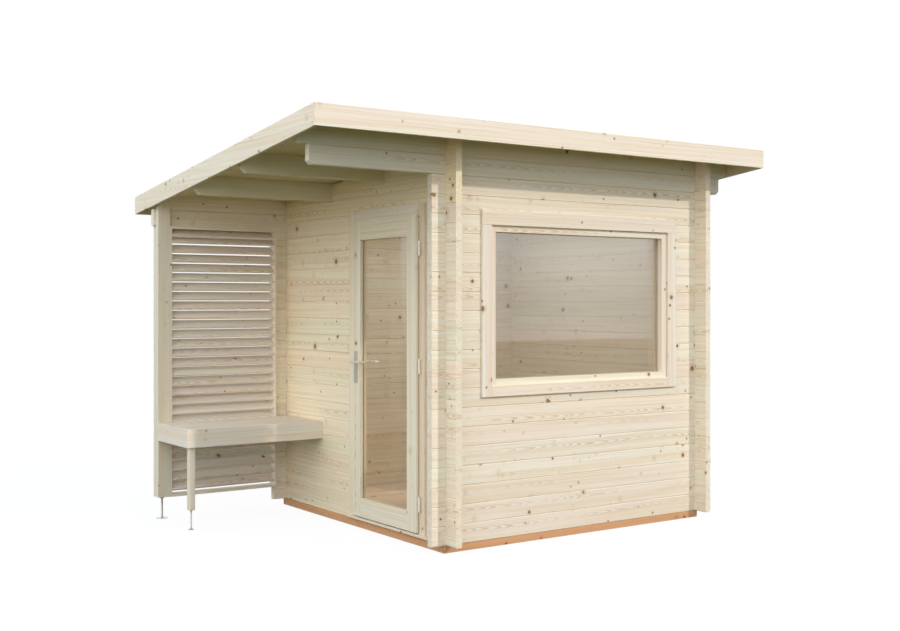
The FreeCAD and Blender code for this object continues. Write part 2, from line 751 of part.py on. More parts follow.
def leaf_glass_area():
    """Sight size of the door's glass as y0, y1, z0, z1."""
    return (
        LEAF_HINGE_EDGE + STILE_W,
        LEAF_LOCK_EDGE - STILE_W,
        LEAF_BOTTOM + BOTTOM_RAIL_H,
        LEAF_TOP - TOP_RAIL_H,
    )


def glass_groove(margin):
    """Slab where the door's glass sits in the leaf, grown by a margin."""
    y0, y1, z0, z1 = leaf_glass_area()
    x0 = LEAF_OUT + DOOR_GLASS_DEPTH
    edge = GLASS_EDGE + margin
    return box(x0 - margin, x0 + DOOR_GLASS_T + margin, y0 - edge, y1 + edge, z0 - edge, z1 + edge)


def leaf_body():
    """Slab of the leaf with its lip at both sides and the top."""
    lip = box(LEAF_OUT, LEAF_OUT + LIP_T, LEAF_HINGE_EDGE, LEAF_LOCK_EDGE, LEAF_BOTTOM, LEAF_TOP)
    y0 = LEAF_HINGE_EDGE + LIP_W
    y1 = LEAF_LOCK_EDGE - LIP_W
    core = box(LEAF_OUT, LEAF_IN, y0, y1, LEAF_BOTTOM, LEAF_TOP - LIP_W)
    return lip.fuse(core).removeSplitter()


def door_leaf():
    """Glazed, rebated leaf of two stiles and two rails as one glued frame."""
    y0, y1, z0, z1 = leaf_glass_area()
    body = leaf_body().cut(box(LEAF_OUT - CUT, LEAF_IN + CUT, y0, y1, z0, z1)).cut(glass_groove(GLASS_GAP))
    for height in HINGE_HEIGHTS:
        body = body.cut(leaf_shank(height, SHANK_GAP))
    return [body.cut(box(LEAF_OUT - CUT, LEAF_IN + CUT, *spindle_area(SHANK_GAP)))]


def door_glass():
    return [glass_groove(0.0)]


def fixed_shank(height, margin):
    """Shank of the lower knuckle, driven into the jamb's face."""
    z = height - KNUCKLE_H / 2
    return cylinder(SHANK_D + 2 * margin, SHANK_L + margin, (HINGE_X, HINGE_Y, z), (1, 0, 0))


def leaf_shank(height, margin):
    """Shank of the upper knuckle, driven into the edge of the leaf."""
    z = height + KNUCKLE_H / 2
    return cylinder(SHANK_D + 2 * margin, SHANK_L + margin, (HINGE_X, HINGE_Y, z), (0, 1, 0))


def hinge_pins():
    """Lower knuckles with pin and shank, fixed to the jamb."""
    parts = []
    for height in HINGE_HEIGHTS:
        base = (HINGE_X, HINGE_Y, height - KNUCKLE_H)
        barrel = cylinder(HINGE_D, KNUCKLE_H, base, (0, 0, 1))
        pin = cylinder(HINGE_PIN_D, KNUCKLE_H + PIN_RISE, base, (0, 0, 1))
        parts.append(barrel.fuse(pin).fuse(fixed_shank(height, 0.0)).removeSplitter())
    return parts


def hinge_knuckles():
    """Upper knuckles with bore and shank, fixed to the leaf."""
    parts = []
    for height in HINGE_HEIGHTS:
        base = (HINGE_X, HINGE_Y, height + KNUCKLE_GAP)
        barrel = cylinder(HINGE_D, KNUCKLE_H - KNUCKLE_GAP, base, (0, 0, 1))
        bore_d = HINGE_PIN_D + 2 * HINGE_PIN_GAP
        bore = cylinder(bore_d, PIN_RISE + CUT, (HINGE_X, HINGE_Y, height), (0, 0, 1))
        parts.append(barrel.fuse(leaf_shank(height, 0.0)).cut(bore).removeSplitter())
    return parts


def handle_y():
    """Middle of the lock stile."""
    return LEAF_LOCK_EDGE - STILE_W / 2


def spindle_area(margin):
    """Section of the square spindle as y0, y1, z0, z1, grown by a margin."""
    half = SPINDLE_W / 2 + margin
    y = handle_y()
    return y - half, y + half, LEVER_Z - half, LEVER_Z + half


def lever_handle(face_x, outward):
    """Back plate, neck and returned lever on one face of the leaf."""
    y = handle_y()
    plate_x = sorted((face_x + outward * SEAT_GAP, face_x + outward * (SEAT_GAP + PLATE_T)))
    plate_top = LEVER_Z + PLATE_RISE
    plate = box(*plate_x, y - PLATE_W / 2, y + PLATE_W / 2, plate_top - PLATE_H, plate_top)
    root = face_x + outward * SEAT_GAP
    bend = LEVER_D
    tip = root + outward * (PLATE_T + NECK_L)
    straight = tip - outward * bend
    far = y - LEVER_L
    neck = cylinder(LEVER_D, abs(straight - root), (root, y, LEVER_Z), (outward, 0, 0))
    grip = cylinder(LEVER_D, LEVER_L - 2 * bend, (tip, far + bend, LEVER_Z), (0, 1, 0))
    back = LEVER_RETURN - bend
    hook = cylinder(LEVER_D, back, (straight - outward * back, far, LEVER_Z), (outward, 0, 0))
    lever = neck.fuse(grip).fuse(hook)
    lever = lever.fuse(elbow(straight, y - bend, y, outward)).fuse(elbow(straight, far + bend, far, outward))
    return [plate.fuse(lever).removeSplitter()]


def elbow(x, centre_y, y, outward):
    """Quarter bend of the lever bar in a level plane."""
    section = Part.Face(Part.Wire([
        Part.makeCircle(LEVER_D / 2, FreeCAD.Vector(x, y, LEVER_Z), FreeCAD.Vector(1, 0, 0))
    ]))
    turn = 90 if (y > centre_y) == (outward < 0) else -90
    return section.revolve(FreeCAD.Vector(x, centre_y, LEVER_Z), FreeCAD.Vector(0, 0, 1), turn)


def handle_outer():
    """Outer handle with the spindle through the leaf and a keyhole in its plate."""
    reach = box(LEAF_OUT - SEAT_GAP, LEAF_IN - SEAT_GAP, *spindle_area(0.0))
    plate_x = LEAF_OUT - SEAT_GAP - PLATE_T
    key = cylinder(KEYHOLE_D, 2 * PLATE_T, (plate_x - CUT, handle_y(), LEVER_Z - KEYHOLE_DROP), (1, 0, 0))
    return [lever_handle(LEAF_OUT, -1)[0].fuse(reach).cut(key).removeSplitter()]


def handle_inner():
    return lever_handle(LEAF_IN, 1)


def window_sight():
    """Clear glass area of the window as x0, x1, z0, z1."""
    return (
        WINDOW_LEFT + FRAME_STILE,
        WINDOW_RIGHT - FRAME_STILE,
        WINDOW_BOTTOM + FRAME_RAIL,
        WINDOW_TOP - FRAME_RAIL,
    )


def pane(margin):
    """Insulating pane with its edge let into the frame, grown by a margin."""
    x0, x1, z0, z1 = window_sight()
    edge = GLASS_EDGE + margin
    return box(x0 - edge, x1 + edge, PANE_SET - margin, PANE_SET + PANE_T + margin, z0 - edge, z1 + edge)


def window_frame():
    """Fixed frame in the window wall, rebated for the pane."""
    x0, x1, z0, z1 = window_sight()
    outer = box(WINDOW_LEFT, WINDOW_RIGHT, 0, FRAME_DEPTH, WINDOW_BOTTOM, WINDOW_TOP)
    sight = box(x0, x1, -CUT, FRAME_DEPTH + CUT, z0, z1)
    return [outer.cut(sight).cut(pane(GLASS_GAP))]


def window_glass():
    return [pane(0.0)]


def casing_box(x0, x1, z0, z1):
    """Casing board on the face of the window wall."""
    return box(x0, x1, -CASING_T - SEAT_GAP, -SEAT_GAP, z0, z1)


def casing_area():
    """Inner edges of the window casing as x0, x1, z0, z1."""
    return (
        WINDOW_LEFT + CASING_LAP_LEFT,
        WINDOW_RIGHT - CASING_LAP_RIGHT,
        WINDOW_BOTTOM + CASING_LAP_BOTTOM,
        WINDOW_TOP - CASING_LAP_TOP,
    )


def casing_sides():
    x0, x1, z0, z1 = casing_area()
    low = z0 - CASING_BOTTOM_H
    return [
        casing_box(x0 - CASING_W, x0, low, z1 - SEAT_GAP),
        casing_box(x1, x1 + CASING_W, low, z1 - SEAT_GAP),
    ]


def casing_top():
    x0, x1, z0, z1 = casing_area()
    return [casing_box(x0 - CASING_W, x1 + CASING_W, z1, z1 + CASING_TOP_H)]


def casing_bottom():
    x0, x1, z0, z1 = casing_area()
    return [casing_box(x0 + SEAT_GAP, x1 - SEAT_GAP, z0 - CASING_BOTTOM_H, z0)]


NODES = {
    "base_beams": base_beams,
    "floor_boards": floor_boards,
    "wall_front_below": wall_front_below,
    "wall_front_left": wall_front_left,
    "wall_front_right": wall_front_right,
    "wall_front_above": wall_front_above,
    "beam_front_lower": beam_front_lower,
    "beam_front_upper": beam_front_upper,
    "wall_left_front": wall_left_front,
    "wall_left_back": wall_left_back,
    "wall_left_above": wall_left_above,
    "wall_right": wall_right,
    "wall_back": wall_back,
    "beam_back_lower": beam_back_lower,
    "beam_back_upper": beam_back_upper,
    "purlins": purlins,
    "roof_boards": roof_boards,
    "roof_cover": roof_cover,
    "fascia_front": fascia_front,
    "fascia_back": fascia_back,
    "fascia_left": fascia_left,
    "fascia_right": fascia_right,
    "post": post,
    "louvre_screen": louvre_screen,
    "bench_seat": bench_seat,
    "bench_apron": bench_apron,
    "bench_battens": bench_battens,
    "bench_leg": bench_leg,
    "screw_feet": screw_feet,
    "window_frame": window_frame,
    "window_glass": window_glass,
    "casing_sides": casing_sides,
    "casing_top": casing_top,
    "casing_bottom": casing_bottom,
    "door_jamb_hinge": door_jamb_hinge,
    "door_jamb_lock": door_jamb_lock,
    "door_head": door_head,
    "door_sill": door_sill,
    "door_stops": door_stops,
    "hinge_pins": hinge_pins,
    "door_leaf": door_leaf,
    "door_glass": door_glass,
    "hinge_knuckles": hinge_knuckles,
    "handle_outer": handle_outer,
    "handle_inner": handle_inner,
}


def finish(solids):
    """One compound in the part's frame: centred under the roof outline, ground at zero."""
    shift = FreeCAD.Vector(-(ROOF_LEFT + ROOF_RIGHT) / 2, -(ROOF_FRONT + ROOF_BACK) / 2, BASE_H)
    shape = solids[0] if len(solids) == 1 else Part.makeCompound(solids)
    return shape.translated(shift)


os.makedirs("parts", exist_ok=True)
for name, build in NODES.items():
    finish(build()).exportStep("parts/" + name + ".step")
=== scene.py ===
"""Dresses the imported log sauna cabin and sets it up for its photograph.

Everything is in metres in the part's own frame: X along the window wall away from the
terrace, Y from the window wall to the back wall, Z up from the ground.
"""

from __future__ import annotations

import logging
import math
from dataclasses import dataclass
from enum import Enum

import bpy
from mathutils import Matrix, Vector

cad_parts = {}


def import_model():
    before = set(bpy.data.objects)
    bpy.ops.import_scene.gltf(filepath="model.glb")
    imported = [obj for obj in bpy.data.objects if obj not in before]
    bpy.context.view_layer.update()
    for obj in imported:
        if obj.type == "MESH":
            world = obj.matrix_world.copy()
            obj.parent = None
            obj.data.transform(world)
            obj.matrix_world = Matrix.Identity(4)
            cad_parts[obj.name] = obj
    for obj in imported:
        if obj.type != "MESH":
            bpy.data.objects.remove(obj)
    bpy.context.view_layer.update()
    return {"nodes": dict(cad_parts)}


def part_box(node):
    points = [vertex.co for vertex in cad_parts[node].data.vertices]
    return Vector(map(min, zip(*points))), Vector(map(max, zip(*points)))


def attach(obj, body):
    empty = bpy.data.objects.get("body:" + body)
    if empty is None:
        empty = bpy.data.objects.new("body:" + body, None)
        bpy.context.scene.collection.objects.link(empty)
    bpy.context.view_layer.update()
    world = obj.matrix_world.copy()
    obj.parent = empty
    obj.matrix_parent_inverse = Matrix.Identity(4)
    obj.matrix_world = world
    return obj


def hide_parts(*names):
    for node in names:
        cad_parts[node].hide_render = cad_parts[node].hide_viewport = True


LOG = logging.getLogger("sauna_cabin")
MM = 0.001
COURSE = 0.114  # height that one log adds
BASE_TOP = 0.045  # top of the base beams, where the first front log lies
GLASS_EDGE = 12 * MM  # edge of a pane let into the wood
GLASS_PLAY = 0.4 * MM  # round a pane in its groove
ARRIS_ANGLE = math.radians(32.0)  # edges with a greater turn are rounded
SMOOTH_ANGLE = math.radians(35.0)  # edges with a smaller turn are shaded smooth
FLAT_ANGLE = math.radians(0.5)  # faces with a smaller turn are joined
WELD = 0.01 * MM  # corners closer than this are one
ROOF_BOARD = 0.10922  # cover width of a roof board
FLOOR_BOARD = 0.09467
SEAT_BOARD = 0.1205
SLAT_RISE = 0.06475  # from one slat of the screen to the next

Corner = tuple[float, float, float]  # a place or direction in the part's frame


def linear(colour: str) -> tuple[float, float, float, float]:
    """Turns an sRGB hex value into the linear colour that a shader socket takes.

    Args:
        colour: Six hex digits after a hash sign.

    Returns:
        Linear red, green and blue, and full opacity.
    """
    parts = [int(colour[place : place + 2], 16) / 255 for place in (1, 3, 5)]
    light = [part / 12.92 if part <= 0.04045 else ((part + 0.055) / 1.055) ** 2.4 for part in parts]
    return light[0], light[1], light[2], 1.0


def span(node: str) -> tuple[Corner, Corner]:
    """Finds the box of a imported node.

    Args:
        node: Name of the node.

    Returns:
        Its lowest and its highest corner.
    """
    low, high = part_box(node)
    return tuple(low), tuple(high)


class Grain(Enum):
    """Axes of a board in the part's frame: along the fibres, across the face, into the wood."""

    LOG_X = (0, 2, 1)
    LOG_Y = (1, 2, 0)
    UPRIGHT_FACING_Y = (2, 0, 1)
    UPRIGHT_FACING_X = (2, 1, 0)
    FLAT_X = (0, 1, 2)
    FLAT_Y = (1, 0, 2)


class Figure(Enum):
    """Patterns drawn out along the grain: waves a metre along it and across it, detail, roughness."""

    BAND = (0.7, 52.0, 1.0, 0.4)
    LINE = (1.1, 150.0, 2.0, 0.55)
    FIBRE = (6.0, 420.0, 2.0, 0.5)
    WOBBLE = (3.0, 12.0, 2.0, 0.5)


class Shading:
    """A node tree that is being filled, and the calls that fill it."""

    def __init__(self, tree: bpy.types.NodeTree) -> None:
        """Starts from an empty tree."""
        self.tree = tree
        self.tree.nodes.clear()

    def add(self, kind: str, inputs: dict | None = None, **settings: object) -> bpy.types.Node:
        """Adds one node with its settings and links.

        Args:
            kind: Blender's name of the node.
            inputs: A value, a socket, or a node whose first output is meant, for each input.
            settings: The node's own properties.

        Returns:
            The new node.
        """
        node = self.tree.nodes.new(kind)
        for name, value in settings.items():
            setattr(node, name, value)
        for name, value in (inputs or {}).items():
            if isinstance(value, bpy.types.Node):
                value = value.outputs[0]
            if isinstance(value, bpy.types.NodeSocket):
                self.tree.links.new(value, node.inputs[name])
            else:
                node.inputs[name].default_value = value
        return node

    def scratches(self, width_mm: float) -> bpy.types.Node:
        """Adds the short upright scratches of a brushed or drawn metal.

        Args:
            width_mm: Distance between scratches.

        Returns:
            The node whose value runs over the scratches.
        """
        where = self.add("ShaderNodeTexCoord").outputs["Object"]
        drawn = self.add("ShaderNodeVectorMath", {0: where, 1: (1.0, 1.0, 0.15)}, operation="MULTIPLY")
        return self.add("ShaderNodeTexNoise", {"Vector": drawn, "Scale": 1000.0 / width_mm, "Detail": 3.0})

    def seen(self) -> tuple[bpy.types.NodeSocket, bpy.types.Node]:
        """Adds the test that tells what is looked at from what only lights or is mirrored.

        Returns:
            Whether a ray is a mirrored one, and whether it comes from the camera, glass or not.
        """
        paths = self.add("ShaderNodeLightPath").outputs
        direct = {0: paths["Is Camera Ray"], 1: paths["Is Transmission Ray"]}
        return paths["Is Glossy Ray"], self.add("ShaderNodeMath", direct, operation="MAXIMUM")


def new_material(name: str) -> tuple[bpy.types.Material, Shading]:
    """Makes an empty node material.

    Args:
        name: The material's name.

    Returns:
        The material and its tree, ready to be filled.
    """
    material = bpy.data.materials.new(name)
    material.use_nodes = True
    return material, Shading(material.node_tree)


@dataclass(frozen=True)
class PlanedSpruce:
    """Untreated, planed Nordic spruce.

    It gives the eye a cream ground that leans to rose or straw from board to board, long
    soft bands along the grain with fine lines in them, rows of small flames where the saw
    ran almost along the rings, and small dark knots that the lines swerve round.
    """

    name: str
    grain: Grain
    pitch: float  # cover width of a board or log
    start: float  # edge of the first board
    seed: float
    offset: float = 40.0  # most that the grain of one board lies off the next one's
    layer: float = 0.731  # where in the knots' pattern each next board lies
    straw: str = "#efe9d2"
    rose: str = "#f3e4cf"
    warm: str = "#e9d1ab"
    late: str = "#c59b63"
    knot: str = "#3f2812"
    knot_pale: str = "#8a6a43"
    ring_mm: float = 4.0
    meander: float = 0.03  # how far the grain wanders up and down
    ring_slope: float = 0.042  # rings met along the board, as a slope
    ring_curve: float = 18.0  # how much sharper they bend back from the middle of a flame
    wobble_mm: float = 14.0  # how far the flames stray from it
    row_mm: tuple[float, float] = (8.0, 26.0)  # half width of a row of flames, full and faded out
    flame_share: float = 0.52
    band_share: float = 0.55
    line_share: float = 0.3
    knot_cell_mm: float = 78.0
    knot_share: float = 0.62
    knot_rarity: float = 9.0  # the higher, the fewer large knots
    knot_mm: tuple[float, float] = (6.0, 19.0)  # radius of the smallest and of the largest knot
    swerve_mm: tuple[float, float] = (34.0, 6.0)  # reach of the bend round a knot, and its height
    halo: float = 0.3  # strength of the late wood round a knot
    depth: float = 0.9  # and of the knot's own colour
    tone: float = 0.03
    corner: bool = False  # grain that runs on from a face along X to one along Y

    def material(self) -> bpy.types.Material:
        """Builds the material.

        Returns:
            A material on Object coordinates.
        """
        material, shade = new_material(self.name)
        add = shade.add
        soft = {"interpolation_type": "SMOOTHSTEP"}
        rgba = {"data_type": "RGBA"}
        axes = add("ShaderNodeSeparateXYZ", {0: add("ShaderNodeTexCoord").outputs["Object"]}).outputs
        along, across, deep = (axes[place] for place in self.grain.value)
        if self.corner:
            along = add("ShaderNodeMath", {0: axes[0], 1: axes[1]}, operation="SUBTRACT")
            deep = 0.0

        # The board, the height on its face and a run along the grain that differs from board to board
        above = add("ShaderNodeMath", {0: across, 1: self.start}, operation="SUBTRACT")
        place = add("ShaderNodeMath", {0: above, 1: self.pitch}, operation="DIVIDE")
        board = add("ShaderNodeMath", {0: place}, operation="FLOOR")
        within = add("ShaderNodeMath", {0: place}, operation="FRACT")
        middle = add("ShaderNodeMath", {0: within, 1: 0.5}, operation="SUBTRACT")
        face = add("ShaderNodeMath", {0: middle, 1: self.pitch}, operation="MULTIPLY")
        number = add("ShaderNodeCombineXYZ", {0: board, 1: self.seed})
        chance = add("ShaderNodeTexWhiteNoise", {"Vector": number}, noise_dimensions="2D")
        luck = add("ShaderNodeSeparateXYZ", {0: chance.outputs["Color"]}).outputs
        run = add("ShaderNodeMath", {0: luck[0], 1: self.offset, 2: along}, operation="MULTIPLY_ADD")

        # Knots: one may sit in each cell of a loose pattern in the wood
        cell = 1000.0 / self.knot_cell_mm
        layer = add("ShaderNodeMath", {0: board, 1: self.layer, 2: face}, operation="MULTIPLY_ADD")
        spot = add("ShaderNodeCombineXYZ", {0: run, 1: layer, 2: deep})
        spread = add("ShaderNodeTexVoronoi", {"Vector": spot, "Scale": cell})
        fate = add("ShaderNodeSeparateXYZ", {0: spread.outputs["Color"]}).outputs
        there = add("ShaderNodeMath", {0: fate[0], 1: self.knot_share}, operation="LESS_THAN")
        away = add("ShaderNodeMath", {0: spread.outputs["Distance"], 1: cell}, operation="DIVIDE")
        grown = add("ShaderNodeMath", {0: fate[1], 1: self.knot_rarity}, operation="POWER")
        least, most = (part * MM for part in self.knot_mm)
        size = add("ShaderNodeMapRange", {0: grown, 3: least, 4: most})
        ratio = add("ShaderNodeMath", {0: away, 1: size}, operation="DIVIDE")
        core = add("ShaderNodeMapRange", {0: ratio, 1: 0.75, 2: 1.15, 3: 1.0, 4: 0.0}, **soft)
        rim = add("ShaderNodeMapRange", {0: ratio, 1: 0.9, 2: 2.8, 3: 1.0, 4: 0.0}, **soft)
        reach, height = (part * MM for part in self.swerve_mm)
        swerve = add(
            "ShaderNodeMapRange", {0: away, 2: reach, 3: height, 4: 0.0}, interpolation_type="SMOOTHERSTEP"
        )
        bulge = add("ShaderNodeMath", {0: swerve, 1: there}, operation="MULTIPLY")

        # Height on the face, bent by a slow meander of the grain and round the knots
        where = add("ShaderNodeCombineXYZ", {0: run, 1: board, 2: self.seed})
        drift = add("ShaderNodeTexNoise", {"Vector": where, "Scale": 1.1, "Detail": 2.0})
        sway = add("ShaderNodeSeparateXYZ", {0: drift.outputs["Color"]}).outputs
        bent = add("ShaderNodeMath", {0: sway[0], 1: self.meander, 2: face}, operation="MULTIPLY_ADD")
        high = add("ShaderNodeMath", {0: bent, 1: bulge}, operation="ADD")
        wood = add("ShaderNodeCombineXYZ", {0: run, 1: high, 2: deep})

        # Soft bands, the finer lines in them, the fibres and the wobble of the flames
        figures = {}
        for figure in Figure:
            lengthwise, crosswise, detail, roughness = figure.value
            waves = (lengthwise, crosswise, crosswise)
            drawn = add("ShaderNodeVectorMath", {0: wood, 1: waves}, operation="MULTIPLY")
            figures[figure] = add(
                "ShaderNodeTexNoise",
                {"Vector": drawn, "Scale": 1.0, "Detail": detail, "Roughness": roughness},
            )
        fibre = figures[Figure.FIBRE]

        # Rows of flames: rings met at a slant, near a line that lies off the middle
        aside = add("ShaderNodeMath", {0: luck[1], 1: -0.5}, operation="ADD")
        off = add("ShaderNodeMath", {0: aside, 1: 0.8 * self.pitch, 2: high}, operation="MULTIPLY_ADD")
        square = add("ShaderNodeMath", {0: off, 1: 2.0}, operation="POWER")
        curve = add("ShaderNodeMath", {0: square, 1: self.ring_curve}, operation="MULTIPLY")
        sloped = add("ShaderNodeMath", {0: run, 1: self.ring_slope, 2: curve}, operation="MULTIPLY_ADD")
        wobble = {0: figures[Figure.WOBBLE], 1: self.wobble_mm * MM}
        astray = add("ShaderNodeMath", wobble, operation="MULTIPLY")
        slant = add("ShaderNodeMath", {0: sloped, 1: astray}, operation="ADD")
        years = add("ShaderNodeMath", {0: slant, 1: self.ring_mm * MM}, operation="DIVIDE")
        year = add("ShaderNodeMath", {0: years}, operation="FRACT")
        growth = add("ShaderNodeMapRange", {0: year, 1: 0.3, 2: 0.86}, **soft)
        stop = add("ShaderNodeMapRange", {0: year, 1: 0.88, 3: 1.0, 4: 0.0}, **soft)
        beside = add("ShaderNodeMath", {0: off}, operation="ABSOLUTE")
        full, faded = (part * MM for part in self.row_mm)
        row = add("ShaderNodeMapRange", {0: beside, 1: full, 2: faded, 3: 1.0, 4: 0.0}, **soft)
        patch = add("ShaderNodeMapRange", {0: sway[1], 1: 0.4, 2: 0.62})
        rings = add("ShaderNodeMath", {0: growth, 1: stop}, operation="MULTIPLY")
        rows = add("ShaderNodeMath", {0: row, 1: patch}, operation="MULTIPLY")
        flames = add("ShaderNodeMath", {0: rings, 1: rows}, operation="MULTIPLY")

        # Colour: board tone, bands, lines and flames, then knots
        ends = {6: linear(self.straw), 7: linear(self.rose)}
        plain = add("ShaderNodeMix", {0: luck[2], **ends}, **rgba).outputs[2]
        warmth = {0: figures[Figure.BAND], 1: 0.38, 2: 0.72, 4: self.band_share}
        bands = add("ShaderNodeMapRange", warmth)
        banded = add("ShaderNodeMix", {0: bands, 6: plain, 7: linear(self.warm)}, **rgba).outputs[2]
        thin = {0: figures[Figure.LINE], 1: 0.5, 2: 0.74, 4: self.line_share}
        ruled = add("ShaderNodeMapRange", thin)
        flaming = add("ShaderNodeMath", {0: flames, 1: self.flame_share}, operation="MULTIPLY")
        lines = add("ShaderNodeMath", {0: ruled, 1: flaming}, operation="MAXIMUM")
        striped = add("ShaderNodeMix", {0: lines, 6: banded, 7: linear(self.late)}, **rgba).outputs[2]
        rims = add("ShaderNodeMath", {0: rim, 1: there}, operation="MULTIPLY")
        halo = add("ShaderNodeMath", {0: rims, 1: self.halo}, operation="MULTIPLY")
        rimmed = add("ShaderNodeMix", {0: halo, 6: striped, 7: linear(self.late)}, **rgba).outputs[2]
        hearts = {6: linear(self.knot), 7: linear(self.knot_pale)}
        heart = add("ShaderNodeMix", {0: grown, **hearts}, **rgba).outputs[2]
        cores = add("ShaderNodeMath", {0: core, 1: there}, operation="MULTIPLY")
        dark = add("ShaderNodeMath", {0: cores, 1: self.depth}, operation="MULTIPLY")
        knotted = add("ShaderNodeMix", {0: dark, 6: rimmed, 7: heart}, **rgba).outputs[2]
        tone = add("ShaderNodeMapRange", {0: luck[1], 3: 1.0 - self.tone, 4: 1.0 + self.tone})
        fine = add("ShaderNodeMapRange", {0: fibre, 1: 0.25, 2: 0.75, 3: 0.97, 4: 1.03})
        level = add("ShaderNodeMath", {0: tone, 1: fine}, operation="MULTIPLY")
        toned = add("ShaderNodeVectorMath", {0: knotted, "Scale": level}, operation="SCALE")
        relief = add("ShaderNodeMath", {0: lines, 1: 0.6, 2: fibre}, operation="MULTIPLY_ADD")
        bump = add("ShaderNodeBump", {"Height": relief, "Strength": 0.25, "Distance": 0.4 * MM})
        surface = add(
            "ShaderNodeBsdfPrincipled",
            {"Base Color": toned, "Roughness": 0.66, "IOR": 1.46, "Normal": bump},
        )
        add("ShaderNodeOutputMaterial", {"Surface": surface})
        return material


@dataclass(frozen=True)
class BitumenSheet:
    """Bitumen roofing sheet with fine slate granules: a dull charcoal speckle."""

    name: str = "bitumen_sheet"
    dark: str = "#2c2d2f"
    light: str = "#4a4b4d"
    granule_mm: float = 1.6
    relief_mm: float = 0.5

    def material(self) -> bpy.types.Material:
        """Builds the material.

        Returns:
            A material on Object coordinates.
        """
        material, shade = new_material(self.name)
        add = shade.add
        where = add("ShaderNodeTexCoord").outputs["Object"]
        grit = add("ShaderNodeTexVoronoi", {"Vector": where, "Scale": 1000.0 / self.granule_mm})
        grains = add("ShaderNodeSeparateXYZ", {0: grit.outputs["Color"]})
        colour = add(
            "ShaderNodeMix", {0: grains, 6: linear(self.dark), 7: linear(self.light)}, data_type="RGBA"
        ).outputs[2]
        bump = add(
            "ShaderNodeBump",
            {"Height": grit.outputs["Distance"], "Strength": 0.5, "Distance": self.relief_mm * MM},
        )
        surface = add(
            "ShaderNodeBsdfPrincipled", {"Base Color": colour, "Roughness": 0.9, "Normal": bump}
        )
        add("ShaderNodeOutputMaterial", {"Surface": surface})
        return material


@dataclass(frozen=True)
class SatinSteel:
    """Satin stainless or zinc plated steel: grey metal with short fine scratches."""

    name: str = "satin_steel"
    colour: str = "#e6e3dc"
    roughness: float = 0.34
    scratch_mm: float = 1.2
    metal: float = 1.0  # below 1 on the hinges, so their near-white colour shows as a painted highlight
    uneven: tuple[float, float] = (0.06, 0.08)  # how much smoother and rougher it gets

    def material(self) -> bpy.types.Material:
        """Builds the material.

        Returns:
            A material on Object coordinates.
        """
        material, shade = new_material(self.name)
        add = shade.add
        low = self.roughness - self.uneven[0]
        high = self.roughness + self.uneven[1]
        scratches = shade.scratches(self.scratch_mm)
        rough = add("ShaderNodeMapRange", {0: scratches, 1: 0.3, 2: 0.7, 3: low, 4: high})
        surface = add(
            "ShaderNodeBsdfPrincipled",
            {"Base Color": linear(self.colour), "Metallic": self.metal, "Roughness": rough},
        )
        add("ShaderNodeOutputMaterial", {"Surface": surface})
        return material


@dataclass(frozen=True)
class LeverOnPlate:
    """Door handle: a pale satin nickel lever on a plate of darker, brushed steel. The lever's cream tint and
    part-matt finish are a painted reflection of the wood around it.
    """

    name: str
    lever_z: float  # height of the lever's axis
    half: float = 10 * MM  # reach of the lever above and below it
    lever: str = "#ece0cf"
    plate: str = "#cbc5bb"
    lever_metal: float = 0.5  # less than 1, so the lever's cream tint shows as a painted reflection
    plate_metal: float = 0.5
    roughness: tuple[float, float] = (0.36, 0.48)  # least and most
    scratch_mm: float = 1.0

    def material(self) -> bpy.types.Material:
        """Builds the material.

        Returns:
            A material on Object coordinates; the height on the door tells lever from plate.
        """
        material, shade = new_material(self.name)
        add = shade.add
        where = add("ShaderNodeTexCoord").outputs["Object"]
        height = add("ShaderNodeSeparateXYZ", {0: where}).outputs[2]
        near = add("ShaderNodeMath", {0: height, 1: self.lever_z, 2: self.half}, operation="COMPARE")
        colour = add(
            "ShaderNodeMix", {0: near, 6: linear(self.plate), 7: linear(self.lever)}, data_type="RGBA"
        ).outputs[2]
        scratches = shade.scratches(self.scratch_mm)
        low, high = self.roughness
        rough = add("ShaderNodeMapRange", {0: scratches, 1: 0.3, 2: 0.7, 3: low, 4: high})
        metal = add("ShaderNodeMapRange", {0: near, 3: self.plate_metal, 4: self.lever_metal})
        surface = add(
            "ShaderNodeBsdfPrincipled", {"Base Color": colour, "Metallic": metal, "Roughness": rough}
        )
        add("ShaderNodeOutputMaterial", {"Surface": surface})
        return material


@dataclass(frozen=True)
class FloatGlass:
    """Clear float glass: what is behind it shows, under a sheen of what it mirrors.

    The sheen is the same on both faces of a pane, so the far face doesn't turn dark.
    """

    name: str
    tint: str = "#f6f3ee"
    sheen: float = 0.05  # share that one face mirrors, seen straight on
    grazing: float = 0.7  # added to it at the flattest view
    turn: float = 4.0  # how late that rise comes

    def material(self) -> bpy.types.Material:
        """Builds the material.

        Returns:
            A material whose see-through part lets lamps through.
        """
        material, shade = new_material(self.name)
        add = shade.add
        through = add("ShaderNodeBsdfTransparent", {"Color": linear(self.tint)})
        mirror = add("ShaderNodeBsdfGlossy", {"Color": linear("#ffffff"), "Roughness": 0.02})
        flat = add("ShaderNodeLayerWeight", {"Blend": 0.5}).outputs["Facing"]
        late = add("ShaderNodeMath", {0: flat, 1: self.turn}, operation="POWER")
        rise = {0: late, 1: self.grazing, 2: self.sheen}
        share = add("ShaderNodeMath", rise, operation="MULTIPLY_ADD")
        surface = add("ShaderNodeMixShader", {0: share, 1: through, 2: mirror})
        add("ShaderNodeOutputMaterial", {"Surface": surface})
        return material


